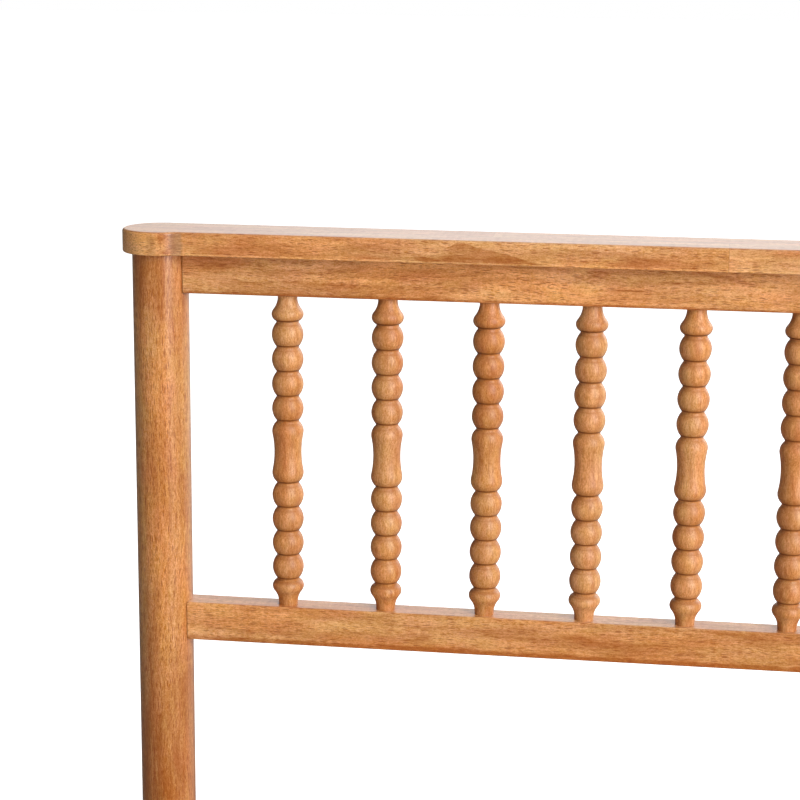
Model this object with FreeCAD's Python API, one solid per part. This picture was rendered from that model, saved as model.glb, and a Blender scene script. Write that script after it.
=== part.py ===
"""Queen-size spindle bed in solid hardwood, in millimetres.

The frame stands on the floor at z = 0. The origin is on the floor at the middle of the bed, +X is
to the right as seen from the foot, +Y points to the head and +Z is up.
Both end panels are built alike: two round posts, a cap with round ends over them, a top rail under
the cap, and a row of turned spindles tenoned into rails. The headboard is the tall panel at +Y.
"""

import FreeCAD, Part
import math
import os

V = FreeCAD.Vector
UP = V(0, 0, 1)
DOWN = V(0, 0, -1)
ALONG_X = V(1, 0, 0)

# ---- driving dimensions -------------------------------------------------------------------
mattress_width = 1524.0
mattress_length = 2032.0
mattress_side_play = 11.5  # mattress to side rail, at each side
mattress_end_play = 14.0  # mattress to bottom rail, at each end

spindle_count = 13
spindle_pitch = 108.0

post_radius = 30.0
post_flat = 27.5  # post axis to the flat that a rail's end butts on

cap_thick = 25.0
cap_end_radius = 40.0
cap_back = 40.0  # the cap's straight back edge, level with its round ends
cap_front = 33.0  # the cap's straight front edge, set back from its round ends
cap_neck_radius = 10.0  # hollow corner between a round end and the front edge
cap_top_round = 3.0
cap_bottom_round = 1.5

rail_thick = 30.0
rail_height = 43.0
rail_round = 1.5

headboard_height = 1120.0
headboard_beads = 4  # beads each side of a spindle's barrel
footboard_beads = 2

board_height = 150.0  # side rails and the bottom rail of each panel
board_bottom = 250.0
side_rail_thick = 25.0

slat_count = 14
slat_width = 75.0
slat_thick = 18.0
slat_pitch = 150.0
slat_play = 2.0  # slat end to side rail
slat_top = 335.0
cleat_width = 25.0
cleat_height = 30.0
cleat_length = 2020.0

centre_rail_width = 40.0
centre_rail_height = 60.0
leg_side = 40.0
leg_y = 345.0
leg_bottom = 29.5

glide_height = 5.0
glide_radius = 18.0

fit_gap = 0.1  # radial room of a glued or driven piece in its hole
run_gap = 0.05  # radial room of a thread that turns

# ---- sizes worked out from them -----------------------------------------------------------
post_x = mattress_width / 2 + mattress_side_play + side_rail_thick / 2
post_y = mattress_length / 2 + mattress_end_play + rail_thick / 2
board_top = board_bottom + board_height
slat_bottom = slat_top - slat_thick
side_inner_x = post_x - side_rail_thick / 2
rail_half_length = post_x - post_flat
side_half_length = post_y - post_flat

# ---- turned spindle -----------------------------------------------------------------------
bead_pitch = 27.0
bead_radius = 17.0
bead_arc = 19.0  # radius of a bead's outline, slightly flatter than a ball
groove_radius = 12.1
tenon_radius = 8.0
tenon_length = 15.0
socket_depth = 16.0

neck_radius = 10.4  # where the spindle meets a rail
neck_straight = 2.0
collar_radius = 17.15
collar_arc = 7.8
collar_peak = 21.0  # height of the collar's widest ring above the rail
collar_groove = 29.5  # height of the groove above the collar

barrel_half = 34.5  # middle of the spindle to the groove at the barrel's end
barrel_waist = 14.7
barrel_shoulder = 17.05
barrel_shoulder_arc = 13.5
barrel_shoulder_at = 23.0

# ---- fasteners ----------------------------------------------------------------------------
rail_dowel_radius = 5.0
rail_dowel_in_post = 18.0
rail_dowel_in_rail = 32.0
cap_dowel_radius = 6.0
cap_dowel_in_post = 25.0
cap_dowel_in_cap = 15.0

screw_length = 35.0
bracket_screw_length = 25.0
screw_radius = 2.0
screw_head_radius = 4.0
screw_head_height = 2.6
screw_tip = 4.0
screw_slot = 0.9
screw_slot_depth = 1.2
cap_screw_x = (-486.0, -162.0, 162.0, 486.0)
cap_screw_counterbore = 18.0
counterbore_radius = 5.5

bolt_radius = 4.0
bolt_in_post = 30.0
bolt_z = (271.0, 366.0)  # below and above the slat cleat
pocket_from_end = 55.0
pocket_radius = 15.0
pocket_depth = 21.0
washer_radius = 14.8
washer_width = 14.0
washer_flat = 7.0  # pocket axis to the washer's flat face
nut_across_flats = 13.0
nut_thick = 6.5
bolt_past_nut = 3.0

bracket_steel = 2.0
bracket_reach = 32.0
bracket_side_height = 45.0
bracket_plate_width = 84.0
bracket_plate_height = 72.0

# ---- levelling foot -----------------------------------------------------------------------
insert_radius = 5.5
insert_length = 13.0
insert_flange_radius = 9.0
insert_flange = 1.5
leg_bolt_in_leg = 32.0
stud_top = 56.0
stud_bore_top = 72.0
stud_bore_radius = 4.6
hex_bottom = 9.3
hex_height = 6.0
pad_radius = 20.0
pad_height = 9.0
pad_edge = 1.5
foot_disc_radius = 6.0
foot_disc_bottom = 3.0
foot_disc_top = 6.0


def cylinder(radius, length, start, direction):
    return Part.makeCylinder(radius, length, start, direction)


def box(low, high):
    """A block between two opposite corners."""
    return Part.makeBox(high[0] - low[0], high[1] - low[1], high[2] - low[2], V(*low))


def cut_all(shape, tools):
    return shape.cut(tools) if tools else shape


def moved(shape, x=0.0, y=0.0, z=0.0):
    copy = shape.copy()
    copy.translate(V(x, y, z))
    return copy


def eased_board(low, high, along, radius):
    """A block whose long edges, parallel to the axis number given, are rounded."""
    block = box(low, high)
    edges = []
    for edge in block.Edges:
        first, last = edge.Vertexes[0].Point, edge.Vertexes[-1].Point
        if abs(last[along] - first[along]) > 1e-6:
            edges.append(edge)
    return block.makeFillet(radius, edges)


# ---- spindle ------------------------------------------------------------------------------
def arc_about(centre, radius, start, end):
    """The shorter arc from start to end on a circle; points are (radius, height) pairs."""
    middle = V((start[0] + end[0]) / 2 - centre[0], 0, (start[1] + end[1]) / 2 - centre[1])
    middle.multiply(radius / middle.Length)
    through = V(centre[0], 0, centre[1]) + middle
    return Part.Arc(V(start[0], 0, start[1]), through, V(end[0], 0, end[1])).toShape()


def line(start, end):
    return Part.makeLine(V(start[0], 0, start[1]), V(end[0], 0, end[1]))


def height_on_arc(radius_at, centre_radius, arc):
    """How far along the axis from an arc's peak its outline has come down to radius_at."""
    return math.sqrt(arc**2 - (radius_at - centre_radius) ** 2)


def collar_outline():
    """From the rail up to the groove above the collar: hollow neck, then a round collar."""
    peak = (collar_radius - collar_arc, collar_peak)
    rise = collar_peak - neck_straight
    lead = neck_radius - peak[0]
    hollow = (collar_arc**2 - lead**2 - rise**2) / (2 * (lead - collar_arc))
    centre = (neck_radius + hollow, neck_straight)
    share = hollow / (hollow + collar_arc)
    meet = (centre[0] + (peak[0] - centre[0]) * share, centre[1] + (peak[1] - centre[1]) * share)
    top = collar_peak + height_on_arc(groove_radius, peak[0], collar_arc)
    crest = (collar_radius, collar_peak)
    edges = [
        line((neck_radius, 0), (neck_radius, neck_straight)),
        arc_about(centre, hollow, (neck_radius, neck_straight), meet),
        arc_about(peak, collar_arc, meet, crest),
        arc_about(peak, collar_arc, crest, (groove_radius, top)),
    ]
    return edges, top


def barrel_outline():
    """From the groove below the barrel to the groove above it, about the spindle's middle."""
    inset = barrel_shoulder - barrel_shoulder_arc
    drop = height_on_arc(groove_radius, inset, barrel_shoulder_arc)
    step = barrel_shoulder - barrel_waist
    both = (step**2 + barrel_shoulder_at**2) / (2 * step)  # the two radii added together
    hollow = both - barrel_shoulder_arc
    share = hollow / both
    centre = (barrel_waist + hollow, 0.0)
    low = (inset, -barrel_shoulder_at)
    meet = (centre[0] + (low[0] - centre[0]) * share, low[1] * share)
    start = (groove_radius, -barrel_shoulder_at - drop)
    crest = (barrel_shoulder, -barrel_shoulder_at)
    mirror = [(p[0], -p[1]) for p in (start, crest, meet, low)]
    edges = [
        arc_about(low, barrel_shoulder_arc, start, crest),
        arc_about(low, barrel_shoulder_arc, crest, meet),
        arc_about(centre, hollow, meet, mirror[2]),
        arc_about(mirror[3], barrel_shoulder_arc, mirror[2], mirror[1]),
        arc_about(mirror[3], barrel_shoulder_arc, mirror[1], mirror[0]),
    ]
    return edges, start[1]


def spindle_length(beads):
    """Length that shows between the rails."""
    return 2 * (collar_groove + beads * bead_pitch + barrel_half)


def spindle(beads):
    """A turned spindle with its tenons, standing on z = 0 of the rail it grows from."""
    length = spindle_length(beads)
    middle = length / 2
    edges, collar_top = collar_outline()
    bead_centre = bead_radius - bead_arc
    bead_half = height_on_arc(groove_radius, bead_centre, bead_arc)
    barrel, barrel_start = barrel_outline()

    height = collar_top
    for number in range(beads):
        centre = collar_groove + (number + 0.5) * bead_pitch
        edges.append(line((groove_radius, height), (groove_radius, centre - bead_half)))
        bead_ends = (groove_radius, centre - bead_half), (groove_radius, centre + bead_half)
        crest = (bead_radius, centre)
        edges.append(arc_about((bead_centre, centre), bead_arc, bead_ends[0], crest))
        edges.append(arc_about((bead_centre, centre), bead_arc, crest, bead_ends[1]))
        height = centre + bead_half
    edges.append(line((groove_radius, height), (groove_radius, middle + barrel_start)))

    upper = []
    for edge in edges:
        copy = edge.copy()
        copy.rotate(V(0, 0, middle), ALONG_X, 180)
        upper.append(copy)
    barrel = [moved(edge, z=middle) for edge in barrel]
    ends = [
        line((0, -tenon_length), (tenon_radius, -tenon_length)),
        line((tenon_radius, -tenon_length), (tenon_radius, 0)),
        line((tenon_radius, 0), (neck_radius, 0)),
        line((neck_radius, length), (tenon_radius, length)),
        line((tenon_radius, length), (tenon_radius, length + tenon_length)),
        line((tenon_radius, length + tenon_length), (0, length + tenon_length)),
        line((0, length + tenon_length), (0, -tenon_length)),
    ]
    outline = Part.Wire(Part.__sortEdges__(edges + upper + barrel + ends))
    return Part.Face(outline).revolve(V(0, 0, 0), UP, 360)


# ---- fasteners ----------------------------------------------------------------------------
def screw(head, direction, length):
    """A countersunk wood screw with a crossed slot; head is the middle of its flat face."""
    body = Part.makeCone(screw_head_radius, screw_radius, screw_head_height, V(0, 0, 0), DOWN)
    shank = length - screw_head_height - screw_tip
    body = body.fuse(cylinder(screw_radius, shank, V(0, 0, -screw_head_height), DOWN))
    tip_start = V(0, 0, -length + screw_tip)
    body = body.fuse(Part.makeCone(screw_radius, 0.4, screw_tip, tip_start, DOWN)).removeSplitter()
    reach = 0.6 * screw_head_radius
    half = screw_slot / 2
    slots = [
        box((-reach, -half, -screw_slot_depth), (reach, half, 1)),
        box((-half, -reach, -screw_slot_depth), (half, reach, 1)),
    ]
    body = body.cut(slots)
    body.Placement = FreeCAD.Placement(head, FreeCAD.Rotation(DOWN, direction))
    return body


def screw_hole(head, direction, length):
    """The room a screw takes, with its countersink, for cutting out of the wood."""
    grow = fit_gap
    hole = Part.makeCone(
        screw_head_radius + grow, screw_radius + grow, screw_head_height, V(0, 0, 0), DOWN
    )
    hole = hole.fuse(cylinder(screw_radius + grow, length + 1, V(0, 0, 0), DOWN))
    hole.Placement = FreeCAD.Placement(head, FreeCAD.Rotation(DOWN, direction))
    return hole


def hexagon(across_flats, height, start, direction):
    corner = across_flats / math.sqrt(3)
    points = [
        V(corner * math.cos(math.radians(60 * k)), corner * math.sin(math.radians(60 * k)), 0)
        for k in range(7)
    ]
    prism = Part.Face(Part.makePolygon(points)).extrude(V(0, 0, height))
    prism.Placement = FreeCAD.Placement(start, FreeCAD.Rotation(UP, direction))
    return prism


def threaded_insert(start, direction):
    """A flanged M8 insert; start is the wood's surface and direction points into the wood."""
    body = cylinder(insert_radius, insert_length, start, direction)
    back = V(direction).multiply(-insert_flange)
    body = body.fuse(cylinder(insert_flange_radius, insert_flange, start + back, direction))
    bore = cylinder(bolt_radius + run_gap, insert_length + 2 * insert_flange, start + back, direction)
    return body.cut(bore)


# ---- end panels ---------------------------------------------------------------------------
def spindle_xs():
    first = -(spindle_count - 1) * spindle_pitch / 2
    return [first + k * spindle_pitch for k in range(spindle_count)]


def cap(top, y):
    """The moulded cap: one straight back edge, round ends, and a front edge set back from them."""
    r, f = cap_end_radius, cap_neck_radius
    reach = math.sqrt((r + f) ** 2 - (cap_front + f) ** 2)  # post axis to the hollow's centre
    on_round = V(reach * r / (r + f), -(cap_front + f) * r / (r + f), 0)
    on_front = V(reach, -cap_front, 0)
    hollow = V(reach, -cap_front - f, 0)
    half_way = (on_round + on_front).multiply(0.5) - hollow
    on_hollow = hollow + half_way.multiply(f / half_way.Length)

    def at(point, side):
        """A point given from the post axis towards the bed's middle, on the side -1 or 1."""
        return V(side * (post_x - point.x), point.y, 0)

    edges = [Part.makeLine(at(V(0, cap_back, 0), -1), at(V(0, cap_back, 0), 1))]
    for side in (-1, 1):
        tip = at(V(-r, 0, 0), side)
        back = at(V(0, cap_back, 0), side)
        lower = at(V(0, -r, 0), side)
        diagonal = r / math.sqrt(2)
        back_mid = at(V(-diagonal, diagonal, 0), side)
        front_mid = at(V(-diagonal, -diagonal, 0), side)
        round_mid = V(on_round.x / 2, -math.sqrt(r**2 - (on_round.x / 2) ** 2), 0)
        edges += [
            Part.Arc(back, back_mid, tip).toShape(),
            Part.Arc(tip, front_mid, lower).toShape(),
            Part.Arc(lower, at(round_mid, side), at(on_round, side)).toShape(),
            Part.Arc(at(on_round, side), at(on_hollow, side), at(on_front, side)).toShape(),
        ]
    edges.append(Part.makeLine(at(on_front, -1), at(on_front, 1)))
    face = Part.Face(Part.Wire(Part.__sortEdges__(edges)))
    slab = face.extrude(V(0, 0, cap_thick))
    top_edges = [e for e in slab.Edges if all(v.Point.z > cap_thick - 1e-6 for v in e.Vertexes)]
    slab = slab.makeFillet(cap_top_round, top_edges)
    low_edges = [e for e in slab.Edges if all(abs(v.Point.z) < 1e-6 for v in e.Vertexes)]
    slab = slab.makeFillet(cap_bottom_round, low_edges)
    return moved(slab, y=y, z=top - cap_thick)


def rail_dowel_zs(bottom, height):
    """Heights of the two dowels in a rail's end."""
    inset = height / 4
    return bottom + inset, bottom + height - inset


def rail_dowels(y, bottom, height):
    """The four dowels of one rail, two in each end."""
    start = rail_half_length - rail_dowel_in_rail
    length = rail_dowel_in_rail + rail_dowel_in_post
    return [
        cylinder(rail_dowel_radius, length, V(side * start, y, z), V(side, 0, 0))
        for side in (-1, 1)
        for z in rail_dowel_zs(bottom, height)
    ]


def rail_dowel_holes(y, bottom, height):
    start = rail_half_length - rail_dowel_in_rail - 1
    length = rail_dowel_in_rail + rail_dowel_in_post + 2
    return [
        cylinder(rail_dowel_radius + fit_gap, length, V(side * start, y, z), V(side, 0, 0))
        for side in (-1, 1)
        for z in rail_dowel_zs(bottom, height)
    ]


def sockets(y, face_z, direction):
    """Round mortises for a row of spindles, cut into the rail face at face_z."""
    radius = tenon_radius + fit_gap
    return [cylinder(radius, socket_depth, V(x, y, face_z), direction) for x in spindle_xs()]


def rail(y, bottom, height, cutters):
    """A rail between the posts, with eased long edges."""
    half = rail_thick / 2
    low = (-rail_half_length, y - half, bottom)
    high = (rail_half_length, y + half, bottom + height)
    body = eased_board(low, high, 0, rail_round)
    return cut_all(body, cutters + rail_dowel_holes(y, bottom, height))


def post(side, y, top, rail_spans, cutters):
    """A round post. Its flats take the rails of the panel and the side rail."""
    x = side * post_x
    body = cylinder(post_radius, top - glide_height, V(x, y, glide_height), UP)
    foot = [e for e in body.Edges if abs(e.BoundBox.ZMax - glide_height) < 1e-6]
    body = body.makeChamfer(2.0, foot)
    half = rail_thick / 2
    seats = []
    for bottom, height in rail_spans:
        near, far = sorted((side * (post_x - post_flat), side * (post_x - post_radius - 1)))
        seats.append(box((near, y - half, bottom), (far, y + half, bottom + height)))
        seats += rail_dowel_holes(y, bottom, height)
    inward = -1 if y > 0 else 1
    near, far = sorted((y + inward * post_flat, y + inward * (post_radius + 1)))
    side_half = side_rail_thick / 2
    seats.append(box((x - side_half, near, board_bottom), (x + side_half, far, board_top)))
    return cut_all(body, seats + cutters)


def cap_dowel(side, y, top, grow=0.0):
    """The dowel between a post's top and the cap; grow widens and lengthens it for its hole."""
    start = V(side * post_x, y, top - cap_thick - cap_dowel_in_post - grow)
    length = cap_dowel_in_post + cap_dowel_in_cap + 2 * grow
    return cylinder(cap_dowel_radius + grow, length, start, UP)


def cap_screw_head(x, y, top):
    return V(x, y, top - cap_thick - rail_height + cap_screw_counterbore)


def panel(name, y, top, beads, has_spindle_rail, nodes):
    """One end panel: posts, cap, rails and spindles. Returns its dowels and screws."""
    rail_top_bottom = top - cap_thick - rail_height
    sill = rail_top_bottom - spindle_length(beads)  # top of the rail that the spindles stand on
    spans = [(rail_top_bottom, rail_height), (board_bottom, board_height)]
    if has_spindle_rail:
        spans.append((sill - rail_height, rail_height))

    for side, label in ((-1, "left"), (1, "right")):
        cutters = [cap_dowel(side, y, top, fit_gap)]
        cutters += side_bolt_holes(side, y) + side_dowel(side, y, fit_gap)
        cutters += [glide(side, y, fit_gap)]
        nodes[f"{name}_post_{label}"] = post(side, y, top - cap_thick, spans, cutters)

    heads = [cap_screw_head(x, y, top) for x in cap_screw_x]
    screw_room = [screw_hole(head, UP, screw_length) for head in heads]
    bores = [
        cylinder(counterbore_radius, cap_screw_counterbore, head, DOWN) for head in heads
    ]
    cap_body = cap(top, y)
    cap_room = screw_room + [cap_dowel(side, y, top, fit_gap) for side in (-1, 1)]
    nodes[f"{name}_cap"] = cut_all(cap_body, cap_room)
    top_cutters = sockets(y, rail_top_bottom, UP) + screw_room + bores
    nodes[f"{name}_top_rail"] = rail(y, rail_top_bottom, rail_height, top_cutters)

    seat = sockets(y, sill, DOWN)
    inward = -1 if y > 0 else 1
    face = y + inward * rail_thick / 2
    bracket_room = [
        screw_hole(point, V(0, -inward, 0), bracket_screw_length)
        for point in bracket_screw_heads(face, inward)
    ]
    if has_spindle_rail:
        nodes[f"{name}_spindle_rail"] = rail(y, sill - rail_height, rail_height, seat)
        nodes[f"{name}_bottom_rail"] = rail(y, board_bottom, board_height, bracket_room)
    else:
        nodes[f"{name}_bottom_rail"] = rail(y, board_bottom, board_height, seat + bracket_room)

    turning = spindle(beads)
    for number, x in enumerate(spindle_xs(), 1):
        nodes[f"{name}_spindle_{number:02d}"] = moved(turning, x, y, sill)

    dowels = []
    for bottom, height in spans:
        dowels += rail_dowels(y, bottom, height)
    pegs = [cap_dowel(side, y, top) for side in (-1, 1)]
    screws = [screw(head, UP, screw_length) for head in heads]
    return dowels, pegs, screws


# ---- side rails and their bolts -----------------------------------------------------------
def side_dowel(side, y, grow=0.0):
    """The locating dowel between a post and a side rail, midway between the two bolts."""
    inward = -1 if y > 0 else 1
    start = y + inward * (post_flat - rail_dowel_in_post - grow)
    length = rail_dowel_in_post + rail_dowel_in_rail + 2 * grow
    centre = V(side * post_x, start, (bolt_z[0] + bolt_z[1]) / 2)
    return [cylinder(rail_dowel_radius + grow, length, centre, V(0, inward, 0))]


def side_bolt_holes(side, y):
    inward = -1 if y > 0 else 1
    start = y + inward * (post_flat - bolt_in_post - 1)
    length = bolt_in_post + 1 + pocket_from_end
    return [
        cylinder(bolt_radius + fit_gap, length, V(side * post_x, start, z), V(0, inward, 0))
        for z in bolt_z
    ]


def corner_hardware(side, y):
    """Hanger bolts, half-moon washers and nuts that draw one side rail's end to a post."""
    inward = -1 if y > 0 else 1
    axis = V(0, inward, 0)
    end = y + inward * post_flat  # the side rail's end face
    bolts, washers, nuts = [], [], []
    pocket_y = end + inward * pocket_from_end
    flat_y = pocket_y - inward * washer_flat
    tail = abs(flat_y - end) + nut_thick + bolt_past_nut
    for z in bolt_z:
        x = side * post_x
        start = V(x, end - inward * bolt_in_post, z)
        bolts.append(cylinder(bolt_radius, bolt_in_post + tail, start, axis))
        moon = cylinder(
            washer_radius, washer_width, V(x - washer_width / 2, pocket_y, z), ALONG_X
        )
        near, far = sorted((flat_y, flat_y + inward * 2 * washer_radius))
        away = box((x - washer_width, near, z - 20), (x + washer_width, far, z + 20))
        bore = cylinder(bolt_radius + fit_gap, 60, V(x, end, z), axis)
        washers.append(moon.cut([away, bore]))
        nut = hexagon(nut_across_flats, nut_thick, V(x, flat_y, z), axis)
        nuts.append(nut.cut(bore))
    return bolts, washers, nuts


def side_rail(side):
    """A side rail between the posts, with bolt bores and half-moon pockets in its inner face."""
    x = side * post_x
    half = side_rail_thick / 2
    low = (x - half, -side_half_length, board_bottom)
    high = (x + half, side_half_length, board_top)
    body = eased_board(low, high, 1, rail_round + 0.5)
    cutters = []
    inner = x - side * half
    for y in (-post_y, post_y):
        inward = -1 if y > 0 else 1
        cutters += side_bolt_holes(side, y) + side_dowel(side, y, fit_gap)
        pocket_y = y + inward * (post_flat + pocket_from_end)
        for z in bolt_z:
            mouth = V(inner - side, pocket_y, z)
            cutters.append(cylinder(pocket_radius, pocket_depth + 1, mouth, V(side, 0, 0)))
    heads = cleat_screw_heads(side)
    cutters += [screw_hole(head, V(side, 0, 0), screw_length) for head in heads]
    return cut_all(body, cutters)


def cleat_screw_heads(side):
    x = side * (side_inner_x - cleat_width)
    z = slat_bottom - cleat_height / 2
    return [V(x, 240.0 * k, z) for k in range(-4, 5)]


def slat_cleat(side):
    near, far = sorted((side * (side_inner_x - cleat_width), side * side_inner_x))
    low = (near, -cleat_length / 2, slat_bottom - cleat_height)
    body = eased_board(low, (far, cleat_length / 2, slat_bottom), 1, 1.0)
    room = [screw_hole(head, V(side, 0, 0), screw_length) for head in cleat_screw_heads(side)]
    room += [screw_hole(head, DOWN, screw_length) for head in slat_screw_heads(side)]
    return cut_all(body, room)


# ---- slats and the centre beam ------------------------------------------------------------
def slat_ys():
    first = -(slat_count - 1) * slat_pitch / 2
    return [first + k * slat_pitch for k in range(slat_count)]


def slat_screw_heads(side):
    """Screw heads in the slats over the left cleat (-1), the centre beam (0) or the right (1)."""
    x = side * (side_inner_x - cleat_width / 2)
    return [V(x, y, slat_top) for y in slat_ys()]


def slats():
    half_length = side_inner_x - slat_play
    heads = [head for side in (-1, 0, 1) for head in slat_screw_heads(side)]
    boards = []
    for y in slat_ys():
        low = (-half_length, y - slat_width / 2, slat_bottom)
        high = (half_length, y + slat_width / 2, slat_top)
        board = eased_board(low, high, 0, 2.0)
        room = [screw_hole(head, DOWN, screw_length) for head in heads if abs(head.y - y) < 1]
        boards.append(cut_all(board, room))
    return boards


def centre_rail():
    half = centre_rail_width / 2
    length = post_y - rail_thick / 2 - bracket_steel - 0.5
    low = (-half, -length, slat_bottom - centre_rail_height)
    body = eased_board(low, (half, length, slat_bottom), 1, 1.5)
    room = [screw_hole(head, DOWN, screw_length) for head in slat_screw_heads(0)]
    beam_bottom = slat_bottom - centre_rail_height
    for y in (-leg_y, leg_y):
        mouth = V(0, y, beam_bottom)
        room.append(cylinder(insert_radius + fit_gap, insert_length + 2, mouth, UP))
        room.append(cylinder(insert_flange_radius + fit_gap, insert_flange + fit_gap, mouth, UP))
    return cut_all(body, room)


def bracket_screw_heads(face, inward):
    """Heads of the four screws of one beam bracket, on the plate that lies on a rail's face."""
    x = bracket_plate_width / 2 - 10
    low = slat_bottom - centre_rail_height - bracket_steel
    y = face + inward * bracket_steel
    return [V(sx * x, y, low + dz) for sx in (-1, 1) for dz in (12, bracket_plate_height - 12)]


def bracket(y):
    """A folded steel hanger that holds one end of the centre beam."""
    inward = -1 if y > 0 else 1
    face = y + inward * rail_thick / 2
    bottom = slat_bottom - centre_rail_height - bracket_steel
    half = centre_rail_width / 2 + 0.2
    wall = half + bracket_steel
    near, far = sorted((face, face + inward * bracket_steel))
    half_plate = bracket_plate_width / 2
    plate = box((-half_plate, near, bottom), (half_plate, far, bottom + bracket_plate_height))
    near, far = sorted((face, face + inward * bracket_reach))
    tray = box((-wall, near, bottom), (wall, far, bottom + bracket_side_height))
    near, far = sorted((face + inward * bracket_steel, face + inward * (bracket_reach + 1)))
    inside = box((-half, near, bottom + bracket_steel), (half, far, bottom + bracket_side_height))
    body = plate.fuse(tray.cut(inside)).removeSplitter()
    room = [
        screw_hole(point, V(0, -inward, 0), bracket_screw_length)
        for point in bracket_screw_heads(face, inward)
    ]
    return cut_all(body, room)


def centre_leg(y):
    """A square leg under the centre beam, bored for its hanger bolt and its levelling stud."""
    half = leg_side / 2
    top = slat_bottom - centre_rail_height
    body = eased_board((-half, y - half, leg_bottom), (half, y + half, top), 2, 2.0)
    room = [
        cylinder(bolt_radius + fit_gap, leg_bolt_in_leg + 1, V(0, y, top), DOWN),
        cylinder(insert_radius + fit_gap, insert_length + 1, V(0, y, leg_bottom), UP),
        cylinder(stud_bore_radius, stud_bore_top - leg_bottom, V(0, y, leg_bottom), UP),
    ]
    return cut_all(body, room)


def leg_hanger_bolt(y):
    top = slat_bottom - centre_rail_height
    start = V(0, y, top - leg_bolt_in_leg)
    return cylinder(bolt_radius, leg_bolt_in_leg + insert_length, start, UP)


def beam_insert(y):
    """The insert in the centre beam's underside, its flange let in level with the wood."""
    top = slat_bottom - centre_rail_height
    return threaded_insert(V(0, y, top + insert_flange), UP)


# ---- levelling foot -----------------------------------------------------------------------
def leveller_stud(y):
    """An M8 stud with a hexagon to turn it by, and a disc that swivels in the pad."""
    body = cylinder(foot_disc_radius, foot_disc_top - foot_disc_bottom, V(0, y, foot_disc_bottom), UP)
    body = body.fuse(cylinder(bolt_radius, stud_top - foot_disc_bottom, V(0, y, foot_disc_bottom), UP))
    body = body.fuse(hexagon(nut_across_flats, hex_height, V(0, y, hex_bottom), UP))
    return body.removeSplitter()


def leveller_pad(y):
    """The round pad on the floor, with the socket that the stud's disc turns in."""
    body = cylinder(pad_radius, pad_height, V(0, y, 0), UP)
    rims = [e for e in body.Edges if e.Curve.TypeId == "Part::GeomCircle"]
    body = body.makeFillet(pad_edge, rims)
    socket_height = foot_disc_top - foot_disc_bottom + 2 * run_gap
    socket = cylinder(
        foot_disc_radius + run_gap, socket_height, V(0, y, foot_disc_bottom - run_gap), UP
    )
    neck = cylinder(bolt_radius + run_gap, pad_height, V(0, y, foot_disc_bottom), UP)
    return body.cut(socket.fuse(neck))


def glide(side, y, grow=0.0):
    """A nail-on glide under a post. With grow it is only the nail's hole."""
    x = side * post_x
    nail = cylinder(1.6 + grow, glide_height + 15 + grow, V(x, y, 1), UP)
    if grow:
        return nail
    disc = cylinder(glide_radius, glide_height, V(x, y, 0), UP)
    low = [e for e in disc.Edges if abs(e.BoundBox.ZMax) < 1e-6]
    return disc.makeFillet(2.0, low).fuse(nail).removeSplitter()


# ---- the whole bed ------------------------------------------------------------------------
def build():
    nodes = {}
    foot_top = board_top + spindle_length(footboard_beads) + rail_height + cap_thick
    panels = [
        ("headboard", post_y, headboard_height, headboard_beads, True),
        ("footboard", -post_y, foot_top, footboard_beads, False),
    ]
    dowels, pegs, screws = [], [], []
    for name, y, top, beads, has_spindle_rail in panels:
        more = panel(name, y, top, beads, has_spindle_rail, nodes)
        dowels += more[0]
        pegs += more[1]
        screws += more[2]

    bolts, washers, nuts, glides = [], [], [], []
    for side, label in ((-1, "left"), (1, "right")):
        nodes[f"side_rail_{label}"] = side_rail(side)
        nodes[f"slat_cleat_{label}"] = slat_cleat(side)
        screws += [screw(h, V(side, 0, 0), screw_length) for h in cleat_screw_heads(side)]
        for y in (-post_y, post_y):
            dowels += side_dowel(side, y)
            more = corner_hardware(side, y)
            bolts += more[0]
            washers += more[1]
            nuts += more[2]
            glides.append(glide(side, y))
    for side in (-1, 0, 1):
        screws += [screw(head, DOWN, screw_length) for head in slat_screw_heads(side)]

    small_screws = []
    for y in (-post_y, post_y):
        inward = -1 if y > 0 else 1
        heads = bracket_screw_heads(y + inward * rail_thick / 2, inward)
        small_screws += [screw(h, V(0, -inward, 0), bracket_screw_length) for h in heads]

    nodes["mattress_slats"] = slats()
    nodes["centre_rail"] = centre_rail()
    nodes["centre_rail_brackets"] = [bracket(-post_y), bracket(post_y)]
    inserts, leg_bolts = [], []
    for y, label in ((leg_y, "head"), (-leg_y, "foot")):
        nodes[f"centre_leg_{label}"] = centre_leg(y)
        nodes[f"leveller_stud_{label}"] = leveller_stud(y)
        nodes[f"leveller_pad_{label}"] = leveller_pad(y)
        inserts += [threaded_insert(V(0, y, leg_bottom), UP), beam_insert(y)]
        leg_bolts.append(leg_hanger_bolt(y))

    nodes["rail_dowels"] = dowels
    nodes["cap_dowels"] = pegs
    nodes["wood_screws"] = screws
    nodes["bracket_screws"] = small_screws
    nodes["rail_hanger_bolts"] = bolts
    nodes["half_moon_washers"] = washers
    nodes["rail_bolt_nuts"] = nuts
    nodes["leg_hanger_bolts"] = leg_bolts
    nodes["threaded_inserts"] = inserts
    nodes["post_glides"] = glides
    return nodes


def main():
    os.makedirs("parts", exist_ok=True)
    nodes = build()
    for name, made in nodes.items():
        shape = Part.makeCompound(made) if isinstance(made, list) else made
        solids = shape.Solids
        if not shape.isValid() or any(s.Volume <= 0 for s in solids):
            raise RuntimeError(f"{name} is not a sound solid")
        shape = Part.makeCompound(solids) if len(solids) > 1 else solids[0]
        shape.exportStep(f"parts/{name}.step")
    print(len(nodes), "nodes; footboard top at", nodes["footboard_cap"].BoundBox.ZMax)


main()
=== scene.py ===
import math
from functools import partial

import bmesh
import bpy
from mathutils import Matrix, Vector


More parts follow.
